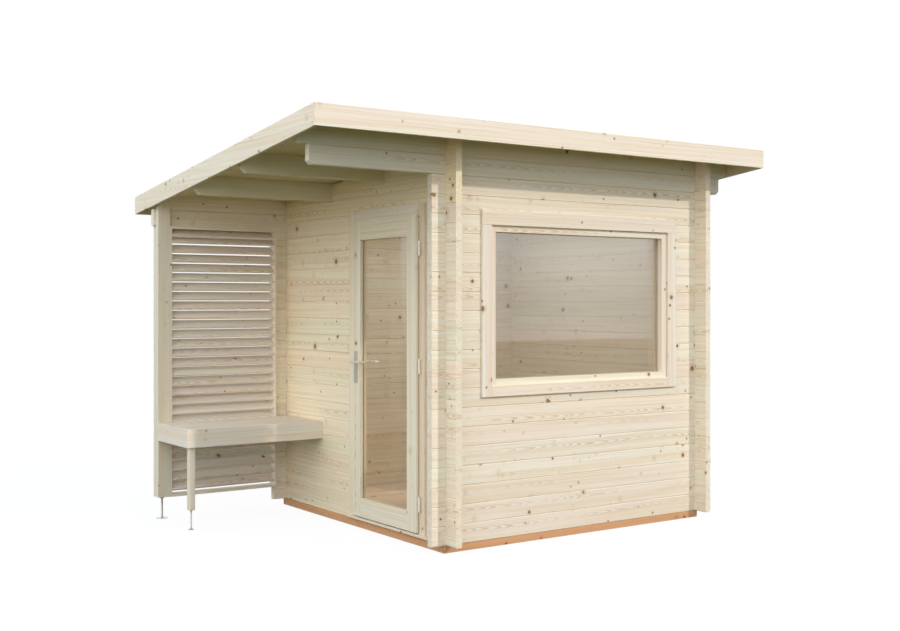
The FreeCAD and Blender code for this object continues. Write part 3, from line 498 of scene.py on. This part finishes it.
class Woods:
    """Every wood of the cabin, one material for each lie of the grain and each tone. Some tones are painted
    light or shade, suited to where the wood stands.

    Each has its grain, the cover width of its boards, the place of the first board's edge and
    a seed. A width of 0.4 m and more is that of a single board.
    """

    def __init__(self) -> None:
        """Makes the materials."""
        side_start = BASE_TOP + COURSE / 2
        self.front = PlanedSpruce("spruce_logs_front", Grain.LOG_X, COURSE, BASE_TOP, 1.0).material()
        # Painted light and shade: the left wall's logs are one wood in three tints. The door wall's logs are
        # yellowed for the shade they stand in. The corner logs, whose ends stand in the sun, are less
        # yellow. The logs over the door are warmer still, for the light that bounces between the roof boards
        # and the wall.
        self.side = PlanedSpruce(
            "spruce_logs_side_painted_shade_tint", Grain.LOG_Y, COURSE, side_start, 2.0, straw="#f4edca", rose="#f8e6c5"
        ).material()
        self.corner = PlanedSpruce(
            "spruce_logs_corner_sunlit_tint", Grain.LOG_Y, COURSE, side_start, 2.0, straw="#eee9d1", rose="#f3e3cc"
        ).material()
        self.above_door = PlanedSpruce(
            "spruce_logs_above_door_painted_bounce", Grain.LOG_Y, COURSE, side_start, 2.0, straw="#f5e8c0", rose="#f8e2bb"
        ).material()
        self.right = PlanedSpruce("spruce_logs_right", Grain.LOG_Y, COURSE, side_start, 7.0).material()
        self.back = PlanedSpruce("spruce_logs_back", Grain.LOG_X, COURSE, BASE_TOP, 5.0).material()
        # Painted shade: the purlins and the front beams are darker and duller than the other spruce, for the
        # shade under the eaves.
        self.purlins = PlanedSpruce(
            "spruce_purlins_painted_shade", Grain.LOG_X, 0.5, 0.0, 18.0, straw="#e3dcbd", rose="#e2d9ba",
            flame_share=0.15, band_share=0.25, line_share=0.12, knot_share=0.06,
        ).material()
        self.beams = PlanedSpruce(
            "spruce_front_beams_painted_shade", Grain.LOG_X, 0.7, -0.1, 19.0, straw="#e4ddc6", rose="#e4ddc6",
            knot_share=0.15,
        ).material()
        self.along_x = PlanedSpruce("spruce_boards_level", Grain.LOG_X, 0.4, 0.0, 3.0).material()
        self.along_y = PlanedSpruce("spruce_boards_sloping", Grain.LOG_Y, 0.6, 0.0, 4.0).material()
        self.upright_y = PlanedSpruce(
            "spruce_uprights_front", Grain.UPRIGHT_FACING_Y, 0.5, 0.1, 6.0
        ).material()
        self.side_casings = PlanedSpruce(
            "spruce_side_casings", Grain.UPRIGHT_FACING_Y, 0.5, 0.1, 6.0, straw="#f0ecda", rose="#f4e6d6"
        ).material()
        self.post = PlanedSpruce(
            "spruce_post", Grain.UPRIGHT_FACING_Y, 0.5, 0.1, 6.5,
            straw="#e1dac5", rose="#e1dac5", knot_share=0.4,
        ).material()
        self.upright_x = PlanedSpruce(
            "spruce_uprights_side", Grain.UPRIGHT_FACING_X, 0.45, 0.1, 8.0,
            straw="#efebd1", rose="#f1e8cc", knot_share=0.4,
        ).material()
        self.hinge_jamb = PlanedSpruce(
            "spruce_hinge_jamb", Grain.UPRIGHT_FACING_X, 0.45, 0.1, 8.0,
            straw="#e6dabf", rose="#e8d6ba", knot_share=0.4,
        ).material()
        # Painted shade: the roof boards are seen only from below, and they are darker and yellower than the
        # other spruce, for the shade of the soffit.
        self.roof = PlanedSpruce(
            "spruce_roof_boards_painted_shade", Grain.FLAT_Y, ROOF_BOARD, -1.6942, 9.0, straw="#e1d3ab",
            rose="#e0cda4", flame_share=0.2, band_share=0.3, line_share=0.15, knot_share=0.15,
        ).material()
        self.floor = PlanedSpruce(
            "spruce_floor_boards", Grain.FLAT_X, FLOOR_BOARD, -0.9605, 10.0,
            straw="#f7e4cf", rose="#f8deca",
        ).material()
        self.rails = PlanedSpruce(
            "spruce_window_rails", Grain.LOG_X, 0.4, 0.05, 14.0, knot_share=0.3
        ).material()
        self.casings = PlanedSpruce("spruce_casings", Grain.LOG_X, 0.4, 0.0, 15.0, knot_share=0.4).material()
        self.seat = PlanedSpruce(
            "spruce_seat_boards", Grain.FLAT_X, SEAT_BOARD, 0.5, 11.0,
            straw="#e5e1d4", rose="#e8ddd1", knot_share=0.2,
        ).material()
        self.apron = PlanedSpruce(
            "spruce_bench_apron", Grain.LOG_X, 0.4, 0.1, 16.0,
            straw="#eae6d5", rose="#ebe3d2", knot_share=0.3, corner=True,
        ).material()
        self.slats = PlanedSpruce(
            "spruce_slats", Grain.LOG_X, SLAT_RISE, 0.18, 12.0,
            straw="#eae3d2", rose="#ece0d1", knot_share=0.3,
        ).material()
        self.door_rails = PlanedSpruce(
            "spruce_door_rails", Grain.LOG_Y, 0.6, 0.0, 17.0,
            straw="#efe7cc", rose="#efe5c8", knot_share=0.15,
        ).material()
        # Pressure treated: orange brown
        self.pine = PlanedSpruce(
            "impregnated_pine", Grain.LOG_X, 0.4, -0.1, 13.0,
            straw="#e3b07f", rose="#dca676", warm="#d3965d", late="#a8683a", knot="#5b2f14",
        ).material()


@dataclass
class Cabin:
    """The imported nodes, each with the finish of its own wood, sheet, metal or glass."""

    nodes: dict[str, bpy.types.Object]
    woods: Woods
    plate_rise: float = 68 * MM  # top of the handle's plate above the lever

    def dress(self) -> None:
        """Gives every node its material."""
        woods = self.woods
        steel = SatinSteel().material()
        # Painted highlight: the hinges are near white and mostly matt, for the white glint on their barrels.
        zinc = SatinSteel("zinc_hinges_painted_highlight", "#fdf6ea", 0.5, metal=0.3).material()
        lever_z = span("handle_outer")[1][2] - self.plate_rise
        handle = LeverOnPlate("nickel_lever_on_plate_painted_reflection", lever_z).material()
        # Painted highlight: the lever inside is near white and fully matt, so it reads bright in the dim
        # room.
        inner = LeverOnPlate("nickel_lever_inside_painted_bright", lever_z, lever="#fffaf0", lever_metal=0.0).material()
        finishes = (
            (woods.front, ("wall_front_below", "wall_front_left", "wall_front_right", "wall_front_above")),
            (woods.beams, ("beam_front_lower", "beam_front_upper")),
            (woods.purlins, ("purlins",)),
            (woods.side, ("wall_left_back",)),
            (woods.corner, ("wall_left_front",)),
            (woods.above_door, ("wall_left_above",)),
            (woods.right, ("wall_right",)),
            (woods.back, ("wall_back", "beam_back_lower", "beam_back_upper")),
            (woods.along_x, ("fascia_front", "fascia_back")),
            (woods.apron, ("bench_apron",)),
            (woods.casings, ("casing_top", "casing_bottom")),
            (woods.rails, ("window_frame",)),
            (woods.along_y, ("fascia_left", "fascia_right", "door_sill", "door_head", "bench_battens")),
            (woods.side_casings, ("casing_sides",)),
            (woods.post, ("post", "bench_leg")),
            (woods.hinge_jamb, ("door_jamb_hinge",)),
            (woods.upright_x, ("door_jamb_lock", "door_stops", "door_leaf")),
            (woods.roof, ("roof_boards",)),
            (woods.floor, ("floor_boards",)),
            (woods.seat, ("bench_seat",)),
            (woods.slats, ("louvre_screen",)),
            (woods.pine, ("base_beams",)),
            (BitumenSheet().material(), ("roof_cover",)),
            (steel, ("screw_feet",)),
            (handle, ("handle_outer",)),
            (inner, ("handle_inner",)),
            (zinc, ("hinge_pins", "hinge_knuckles")),
            (FloatGlass("window_glass", sheen=0.17).material(), ("window_glass",)),
            (FloatGlass("door_glass", sheen=0.035).material(), ("door_glass",)),
        )
        for material, names in finishes:
            for name in names:
                mesh = self.nodes[name].data
                mesh.materials.clear()
                mesh.materials.append(material)
                LOG.info("dressed %s with %s", name, material.name)


def only(piece: bpy.types.Object) -> None:
    """Makes one object the active and only selected one.

    Args:
        piece: The object.
    """
    bpy.ops.object.select_all(action="DESELECT")
    piece.select_set(True)
    bpy.context.view_layer.objects.active = piece


def settle(piece: bpy.types.Object) -> None:
    """Writes an object's place, turn and scale into its mesh."""
    only(piece)
    bpy.ops.object.transform_apply(location=True, rotation=True, scale=True)


def block(name: str, low: Corner, high: Corner, tilt: float = 0.0) -> bpy.types.Object:
    """Sawn block between two corners.

    Args:
        name: Name of the new object.
        low: Lowest corner in the part's frame, in metres.
        high: Highest corner.
        tilt: Turn about X through the block's middle, in degrees.

    Returns:
        The block, at the origin with its place in its mesh.
    """
    middle = [(a + b) / 2 for a, b in zip(low, high)]
    sizes = [b - a for a, b in zip(low, high)]
    bpy.ops.mesh.primitive_cube_add(
        size=1.0, location=middle, rotation=(math.radians(tilt), 0.0, 0.0), scale=sizes
    )
    piece = bpy.context.object
    piece.name = name
    settle(piece)
    return piece


def carve(piece: bpy.types.Object, cutter: bpy.types.Object) -> None:
    """Takes one block out of another and throws it away.

    Args:
        piece: The block that is cut.
        cutter: The block that is taken out of it.
    """
    only(piece)
    cut = piece.modifiers.new("cut", "BOOLEAN")
    cut.operation = "DIFFERENCE"
    cut.solver = "EXACT"
    cut.object = cutter
    bpy.ops.object.modifier_apply(modifier=cut.name)
    only(cutter)
    bpy.ops.object.delete()


def ease(piece: bpy.types.Object, width: float, segments: int = 2) -> None:
    """Rounds the arrises of a piece.

    Args:
        piece: The object.
        width: How far the rounding reaches from the edge, in metres.
        segments: Faces across the rounding.
    """
    only(piece)
    bevel = piece.modifiers.new("eased", "BEVEL")
    bevel.width = width
    bevel.segments = segments
    bevel.limit_method = "ANGLE"
    bevel.angle_limit = ARRIS_ANGLE
    bpy.ops.object.modifier_apply(modifier=bevel.name)
    bpy.ops.object.shade_smooth_by_angle(angle=SMOOTH_ANGLE)
    flat = piece.modifiers.new("flat_faces", "WEIGHTED_NORMAL")
    flat.keep_sharp = True
    bpy.ops.object.modifier_apply(modifier=flat.name)


def sight(pane: str, axis: int) -> tuple[float, float]:
    """Finds the clear glass of a pane between its two covered edges.

    Args:
        pane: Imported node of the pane.
        axis: Axis along which it is measured.

    Returns:
        Where the clear glass starts and ends.
    """
    low, high = span(pane)
    return low[axis] + GLASS_EDGE, high[axis] - GLASS_EDGE


def groove(piece: bpy.types.Object, pane: str) -> None:
    """Cuts the groove for the edge of a pane into a stile or rail.

    Args:
        piece: The stile or rail.
        pane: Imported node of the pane.
    """
    low, high = span(pane)
    start = tuple(edge - GLASS_PLAY for edge in low)
    end = tuple(edge + GLASS_PLAY for edge in high)
    carve(piece, block("groove", start, end))


def twin(piece: bpy.types.Object, name: str, shift: Corner) -> bpy.types.Object:
    """Copy of a piece with its own mesh, moved by a vector.

    Args:
        piece: The object to copy.
        name: Name of the copy.
        shift: Move in metres.

    Returns:
        The copy, its place in its mesh.
    """
    only(piece)
    bpy.ops.object.duplicate(linked=False)
    copy = bpy.context.object
    copy.name = name
    bpy.ops.transform.translate(value=shift)
    settle(copy)
    return copy


def mount(
    piece: bpy.types.Object,
    material: bpy.types.Material | None,
    nodes: tuple[str, ...] = (),
    body: str = "cabin",
) -> None:
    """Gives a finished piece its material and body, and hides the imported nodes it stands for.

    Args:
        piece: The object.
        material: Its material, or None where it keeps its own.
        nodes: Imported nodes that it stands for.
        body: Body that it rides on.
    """
    if material:
        piece.data.materials.clear()
        piece.data.materials.append(material)
    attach(piece, body)
    if nodes:
        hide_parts(*nodes)
    LOG.info("built %s, %d faces", piece.name, len(piece.data.polygons))


@dataclass
class EasedTimbers:
    """Planed timbers with the slightly rounded arrises that catch the light."""

    nodes: dict[str, bpy.types.Object]
    arris: float = 1.6 * MM
    stacked_arris: float = 0.3 * MM  # of the two front beams, whose joint hardly shows
    names: tuple[str, ...] = (
        "fascia_front", "fascia_back", "fascia_left", "fascia_right", "post", "purlins",
        "beam_front_lower", "beam_front_upper", "beam_back_lower", "beam_back_upper",
        "casing_sides", "casing_top", "casing_bottom",
        "door_jamb_hinge", "door_jamb_lock", "door_head", "door_sill", "door_stops",
        "bench_seat", "bench_apron", "bench_leg", "base_beams",
    )

    def build(self) -> None:
        """Makes an eased copy of each timber."""
        for name in self.names:
            only(self.nodes[name])
            bpy.ops.object.duplicate(linked=False)
            piece = bpy.context.object
            piece.name = f"{name}_eased"
            bpy.ops.object.mode_set(mode="EDIT")
            bpy.ops.mesh.select_all(action="SELECT")
            bpy.ops.mesh.remove_doubles(threshold=WELD)
            bpy.ops.mesh.dissolve_limited(angle_limit=FLAT_ANGLE)
            bpy.ops.object.mode_set(mode="OBJECT")
            ease(piece, self.stacked_arris if name.startswith("beam_front") else self.arris)
            mount(piece, None, (name,))


@dataclass
class DoorLeaf:
    """Two stiles and two rails round the glass, each with the grain along it."""

    woods: Woods
    lip_t: float = 13.5 * MM  # lip that laps over the jambs
    lip_w: float = 13 * MM
    arris: float = 1.8 * MM

    def build(self) -> None:
        """Models stiles and rails with their glass groove and the rebate behind the lip."""
        low, high = span("door_leaf")
        sight_y = sight("door_glass", 1)
        sight_z = sight("door_glass", 2)
        members = (
            ("door_stile_hinge", (low[1], sight_y[0]), (low[2], high[2]), self.woods.upright_x),
            ("door_stile_lock", (sight_y[1], high[1]), (low[2], high[2]), self.woods.upright_x),
            ("door_rail_bottom", sight_y, (low[2], sight_z[0]), self.woods.door_rails),
            ("door_rail_top", sight_y, (sight_z[1], high[2]), self.woods.door_rails),
        )
        for name, across, up, wood in members:
            piece = block(name, (low[0], across[0], up[0]), (high[0], across[1], up[1]))
            groove(piece, "door_glass")
            for rebate_low, rebate_high in self.rebates(low, high):
                carve(piece, block("rebate", rebate_low, rebate_high))
            ease(piece, self.arris)
            mount(piece, wood, ("door_leaf",), "door")

    def rebates(self, low: Corner, high: Corner) -> tuple[tuple[Corner, Corner], ...]:
        """Finds the blocks that the leaf lacks behind its lip at both sides and the top.

        Args:
            low: Lowest corner of the leaf.
            high: Highest corner of the leaf.

        Returns:
            Two corners for each block.
        """
        over = 2 * MM
        x0 = low[0] + self.lip_t
        x1 = high[0] + over
        return (
            ((x0, low[1] - over, low[2] - over), (x1, low[1] + self.lip_w, high[2] + over)),
            ((x0, high[1] - self.lip_w, low[2] - over), (x1, high[1] + over, high[2] + over)),
            ((x0, low[1] - over, high[2] - self.lip_w), (x1, high[1] + over, high[2] + over)),
        )


@dataclass
class WindowFrame:
    """Two stiles and two rails of the fixed window, rebated for the pane."""

    woods: Woods
    arris: float = 1.8 * MM

    def build(self) -> None:
        """Models the four members with their groove for the pane."""
        low, high = span("window_frame")
        sight_x = sight("window_glass", 0)
        sight_z = sight("window_glass", 2)
        members = (
            ("window_stile_left", (low[0], sight_x[0]), (low[2], high[2]), self.woods.upright_y),
            ("window_stile_right", (sight_x[1], high[0]), (low[2], high[2]), self.woods.upright_y),
            ("window_rail_bottom", sight_x, (low[2], sight_z[0]), self.woods.rails),
            ("window_rail_top", sight_x, (sight_z[1], high[2]), self.woods.rails),
        )
        for name, along, up, wood in members:
            piece = block(name, (along[0], low[1], up[0]), (along[1], high[1], up[1]))
            groove(piece, "window_glass")
            ease(piece, self.arris)
            mount(piece, wood, ("window_frame",))


@dataclass
class LouvreScreen:
    """Rounded slats in a slim frame beside the post."""

    woods: Woods
    stile: float = 14 * MM
    rail: float = 18 * MM
    housing: float = 6 * MM  # slat ends let into the side frames
    slat_w: float = 88.5 * MM
    slat_t: float = 16.5 * MM
    slat_tilt: float = 33.4  # degrees
    pitch: float = SLAT_RISE
    top_pitch: float = 42 * MM  # the uppermost slat sits closer
    first: float = 20 * MM  # lowest slat edge above the bottom rail
    set_back: float = 0.5 * MM  # slat edges behind the front of the frame
    arris: float = 4 * MM  # of the slats, nearly round
    frame_arris: float = 1.5 * MM

    def build(self) -> None:
        """Models the frame once and one slat, which is copied upwards."""
        low, high = span("louvre_screen")
        inner = (low[0] + self.stile, high[0] - self.stile)
        members = (
            ("screen_stile_left", (low[0], inner[0]), (low[2], high[2]), self.woods.upright_y),
            ("screen_stile_right", (inner[1], high[0]), (low[2], high[2]), self.woods.upright_y),
            ("screen_rail_bottom", inner, (low[2], low[2] + self.rail), self.woods.along_x),
            ("screen_rail_top", inner, (high[2] - self.rail, high[2]), self.woods.along_x),
        )
        for name, along, up, wood in members:
            piece = block(name, (along[0], low[1], up[0]), (along[1], high[1], up[1]))
            ease(piece, self.frame_arris)
            mount(piece, wood, ("louvre_screen",))
        turn = math.radians(self.slat_tilt)
        bottom = low[2] + self.rail + self.first
        depth = self.slat_t * math.sin(turn) + self.slat_w * math.cos(turn)
        middle_y = low[1] + self.set_back + depth / 2
        middle_z = bottom + (self.slat_w * math.sin(turn) + self.slat_t * math.cos(turn)) / 2
        slat = block(
            "slat_1",
            (inner[0] - self.housing, middle_y - self.slat_w / 2, middle_z - self.slat_t / 2),
            (inner[1] + self.housing, middle_y + self.slat_w / 2, middle_z + self.slat_t / 2),
            self.slat_tilt,
        )
        ease(slat, self.arris, 3)
        count = int((high[2] - self.rail - bottom - self.top_pitch) / self.pitch) + 1
        rises = [number * self.pitch for number in range(count)]
        rises.append(rises[-1] + self.top_pitch)
        for number, rise in enumerate(rises):
            piece = twin(slat, f"slat_{number + 1}", (0.0, 0.0, rise)) if number else slat
            if number >= count - 1:
                self.clip(piece, high[2] - self.rail)
            mount(piece, self.woods.slats, ("louvre_screen",))

    def clip(self, slat: bpy.types.Object, ceiling: float) -> None:
        """Cuts a slat level under the top rail.

        Args:
            slat: The slat.
            ceiling: Height of the rail's underside.
        """
        only(slat)
        bpy.ops.object.mode_set(mode="EDIT")
        bpy.ops.mesh.select_all(action="SELECT")
        bpy.ops.mesh.bisect(
            plane_co=(0.0, 0.0, ceiling), plane_no=(0.0, 0.0, 1.0), use_fill=True, clear_outer=True
        )
        bpy.ops.object.mode_set(mode="OBJECT")


@dataclass
class RoofSheets:
    """Bitumen sheets along the eaves, each lapped over the one below it."""

    width: float = 0.95
    thick: float = 2.8 * MM
    fall: float = 6.5  # degrees, towards the back
    lap_rise: float = 1.02  # of the upper sheet over the lower one, in thicknesses
    lift: float = 0.1 * MM  # under the lowest sheet
    arris: float = 0.8 * MM

    def build(self) -> None:
        """Models one sheet and lays it from the back upwards."""
        low, high = span("roof_cover")
        slope = math.radians(self.fall)
        length = (high[1] - low[1]) / math.cos(slope)
        count = math.ceil(length / self.width)
        lap = (count * self.width - length) / (count - 1)
        rise = self.thick * self.lap_rise
        pitch_up = math.degrees(math.atan2(rise, self.width))
        bitumen = BitumenSheet(name="bitumen_sheets").material()
        for number in range(count):
            middle = self.width / 2 + number * (self.width - lap)
            y = high[1] - middle * math.cos(slope)
            floor = low[2] + middle * math.sin(slope)
            z = floor + (self.thick / 2 + rise / 2) / math.cos(slope) + self.lift
            sheet = block(
                f"roof_sheet_{number + 1}",
                (low[0], y - self.width / 2, z - self.thick / 2),
                (high[0], y + self.width / 2, z + self.thick / 2),
                pitch_up - self.fall,
            )
            ease(sheet, self.arris, 1)
            mount(sheet, bitumen, ("roof_cover",))


@dataclass
class Feet:
    """Threads on the rods of the two screw feet."""

    pitch: float = 2.0 * MM
    depth: float = 0.9 * MM
    plate_t: float = 6 * MM
    steps: int = 16  # a turn
    rods: tuple[tuple[str, float, float], ...] = (
        ("post", 14 * MM, 34 * MM),
        ("bench_leg", 9 * MM, 20 * MM),
    )  # timber, rod and collar across

    def build(self) -> None:
        """Screws one thread up each rod."""
        steel = SatinSteel(name="zinc_plated_thread").material()
        for timber, rod, collar in self.rods:
            low, high = span(timber)
            centre = ((low[0] + high[0]) / 2, (low[1] + high[1]) / 2)
            start = self.plate_t + rod / 2
            turns = int((low[2] - collar / 2 - start) / self.pitch) - 1
            bpy.ops.mesh.primitive_circle_add(
                vertices=3,
                radius=self.depth,
                location=(rod / 2, 0.0, 0.0),
                rotation=(math.radians(90.0), 0.0, 0.0),
            )
            thread = bpy.context.object
            thread.name = f"{timber}_thread"
            settle(thread)
            helix = thread.modifiers.new("helix", "SCREW")
            helix.axis = "Z"
            helix.screw_offset = self.pitch
            helix.iterations = turns
            helix.steps = self.steps
            helix.render_steps = self.steps
            helix.use_merge_vertices = True
            helix.merge_threshold = WELD
            bpy.ops.object.modifier_apply(modifier=helix.name)
            bpy.ops.transform.translate(value=(centre[0], centre[1], start))
            settle(thread)
            bpy.ops.object.shade_smooth_by_angle(angle=SMOOTH_ANGLE)
            mount(thread, steel)


@dataclass
class Studio:
    """Floor, sky, sun, room lamp and camera."""

    eye: Corner = (-4.5928, -6.6787, 1.4687)  # where the photograph was taken from
    heading: float = 34.746  # degrees from +Y towards +X
    focal_px: float = 1181.116
    frame_px: tuple[int, int] = (900, 631)
    horizon_px: float = 301.65
    sensor_mm: float = 36.0
    sight_range: float = 200.0
    sun_path: Corner = (-0.56, 1.0, -0.74)
    sun_strength: float = 1.59
    sun_colour: str = "#fff3ef"
    sun_width: float = 1.4  # degrees across, a little hazy
    sky_even: float = 0.71
    sky_left: float = 1.87  # more light from the open side of the terrace
    open_side: Corner = (-0.93, -0.37, 0.0)
    gather: float = 1.2  # how closely that light keeps to its side
    sky_mirrored: tuple[float, float] = (0.62, 1.12)  # what glass mirrors, at the horizon and over it
    haze: float = 0.055  # height over the horizon where the second is reached, as a sine
    floor_across: float = 60.0
    floor_drop: float = 1 * MM  # under the part's lowest faces
    floor_glow: float = 0.93  # what makes the floor show white
    floor_shadow: float = 0.08  # and lets a faint shadow show on it
    floor_bounce: tuple[float, float, float] = (0.098, 0.107, 0.047)  # linear, thrown back up
    floor_mirrored: float = 0.35
    inside_watts: float = 13.5
    inside_across: float = 1.4

    def build(self) -> None:
        """Makes the floor, the lights and the camera."""
        self.floor()
        self.sky()
        self.sun()
        self.inside()
        self.camera()

    def floor(self) -> None:
        """Lays a pale floor that shows white and keeps a faint shadow."""
        bpy.ops.mesh.primitive_plane_add(size=self.floor_across, location=(0.0, 0.0, -self.floor_drop))
        ground = bpy.context.object
        ground.name = "floor"
        material, shade = new_material("pale_floor")
        add = shade.add
        mirrored, seen = shade.seen()
        glow = add("ShaderNodeEmission", {"Color": linear("#ffffff"), "Strength": self.floor_glow})
        grey = add("ShaderNodeBsdfDiffuse", {"Color": (*[self.floor_shadow] * 3, 1.0)})
        look = add("ShaderNodeAddShader", {0: glow, 1: grey})
        green = add("ShaderNodeBsdfDiffuse", {"Color": (*self.floor_bounce, 1.0)})
        pale = add("ShaderNodeEmission", {"Color": linear("#f4efe4"), "Strength": self.floor_mirrored})
        bounce = add("ShaderNodeMixShader", {0: mirrored, 1: green, 2: pale})
        surface = add("ShaderNodeMixShader", {0: seen, 1: bounce, 2: look})
        add("ShaderNodeOutputMaterial", {"Surface": surface})
        ground.data.materials.append(material)

    def sky(self) -> None:
        """Fills the world: white where it is seen, brighter to the left where it lights."""
        world = bpy.data.worlds.new("open_sky")
        bpy.context.scene.world = world
        world.use_nodes = True
        shade = Shading(world.node_tree)
        add = shade.add
        mirrored, seen = shade.seen()
        towards = add("ShaderNodeTexCoord").outputs["Generated"]
        left = add(
            "ShaderNodeVectorMath", {0: towards, 1: self.open_side}, operation="DOT_PRODUCT"
        ).outputs["Value"]
        facing = add("ShaderNodeMath", {0: left, 1: 0.0}, operation="MAXIMUM")
        share = add("ShaderNodeMath", {0: facing, 1: self.gather}, operation="POWER")
        strength = add(
            "ShaderNodeMath", {0: share, 1: self.sky_left, 2: self.sky_even}, operation="MULTIPLY_ADD"
        )
        tone = add(
            "ShaderNodeMix", {0: share, 6: linear("#ddedfe"), 7: linear("#f4f5ff")}, data_type="RGBA"
        ).outputs[2]
        lamp = add("ShaderNodeBackground", {"Color": tone, "Strength": strength})
        height = add("ShaderNodeSeparateXYZ", {0: towards}).outputs[2]
        low, high = self.sky_mirrored
        level = add("ShaderNodeMapRange", {0: height, 2: self.haze, 3: low, 4: high})
        glow = add("ShaderNodeBackground", {"Color": linear("#f8fbff"), "Strength": level})
        lit = add("ShaderNodeMixShader", {0: mirrored, 1: lamp, 2: glow})
        white = add("ShaderNodeBackground", {"Color": linear("#ffffff")})
        surface = add("ShaderNodeMixShader", {0: seen, 1: lit, 2: white})
        add("ShaderNodeOutputWorld", {"Surface": surface})

    def sun(self) -> None:
        """Hangs the low sun over the viewer's right shoulder."""
        lamp = bpy.data.lights.new("sun", "SUN")
        lamp.energy = self.sun_strength
        lamp.color = linear(self.sun_colour)[:3]
        lamp.angle = math.radians(self.sun_width)
        holder = bpy.data.objects.new("sun", lamp)
        bpy.context.scene.collection.objects.link(holder)
        holder.rotation_mode = "QUATERNION"
        holder.rotation_quaternion = Vector(self.sun_path).to_track_quat("-Z", "Y")

    def inside(self) -> None:
        """Lights the room, where few bounces of daylight reach, from below its ceiling."""
        low, high = span("floor_boards")
        ceiling = span("wall_left_front")[1][2]
        lamp = bpy.data.lights.new("room_light", "AREA")
        lamp.energy = self.inside_watts
        lamp.size = self.inside_across
        lamp.color = linear("#dbecff")[:3]
        holder = bpy.data.objects.new("room_light", lamp)
        bpy.context.scene.collection.objects.link(holder)
        holder.location = ((low[0] + high[0]) / 2, (low[1] + high[1]) / 2, ceiling)
        holder.visible_camera = False
        holder.visible_glossy = False

    def camera(self) -> None:
        """Stands the camera where the photograph was taken, looking level."""
        width, height = self.frame_px
        lens = bpy.data.cameras.new("camera")
        lens.sensor_width = self.sensor_mm
        lens.lens = self.focal_px / width * lens.sensor_width
        lens.shift_y = (self.horizon_px - height / 2) / width
        lens.clip_end = self.sight_range
        holder = bpy.data.objects.new("camera", lens)
        bpy.context.scene.collection.objects.link(holder)
        holder.location = self.eye
        holder.rotation_euler = (math.radians(90.0), 0.0, math.radians(-self.heading))
        bpy.context.scene.camera = holder


def main() -> None:
    """Dresses the cabin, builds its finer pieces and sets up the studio."""
    logging.basicConfig(level=logging.INFO, format="%(name)s: %(message)s")
    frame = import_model()
    bpy.ops.object.select_all(action="DESELECT")
    woods = Woods()
    Cabin(frame["nodes"], woods).dress()
    EasedTimbers(frame["nodes"]).build()
    DoorLeaf(woods).build()
    WindowFrame(woods).build()
    LouvreScreen(woods).build()
    RoofSheets().build()
    Feet().build()
    Studio().build()
    bpy.context.scene.view_settings.view_transform = "Standard"


if __name__ == "__main__":
    main()
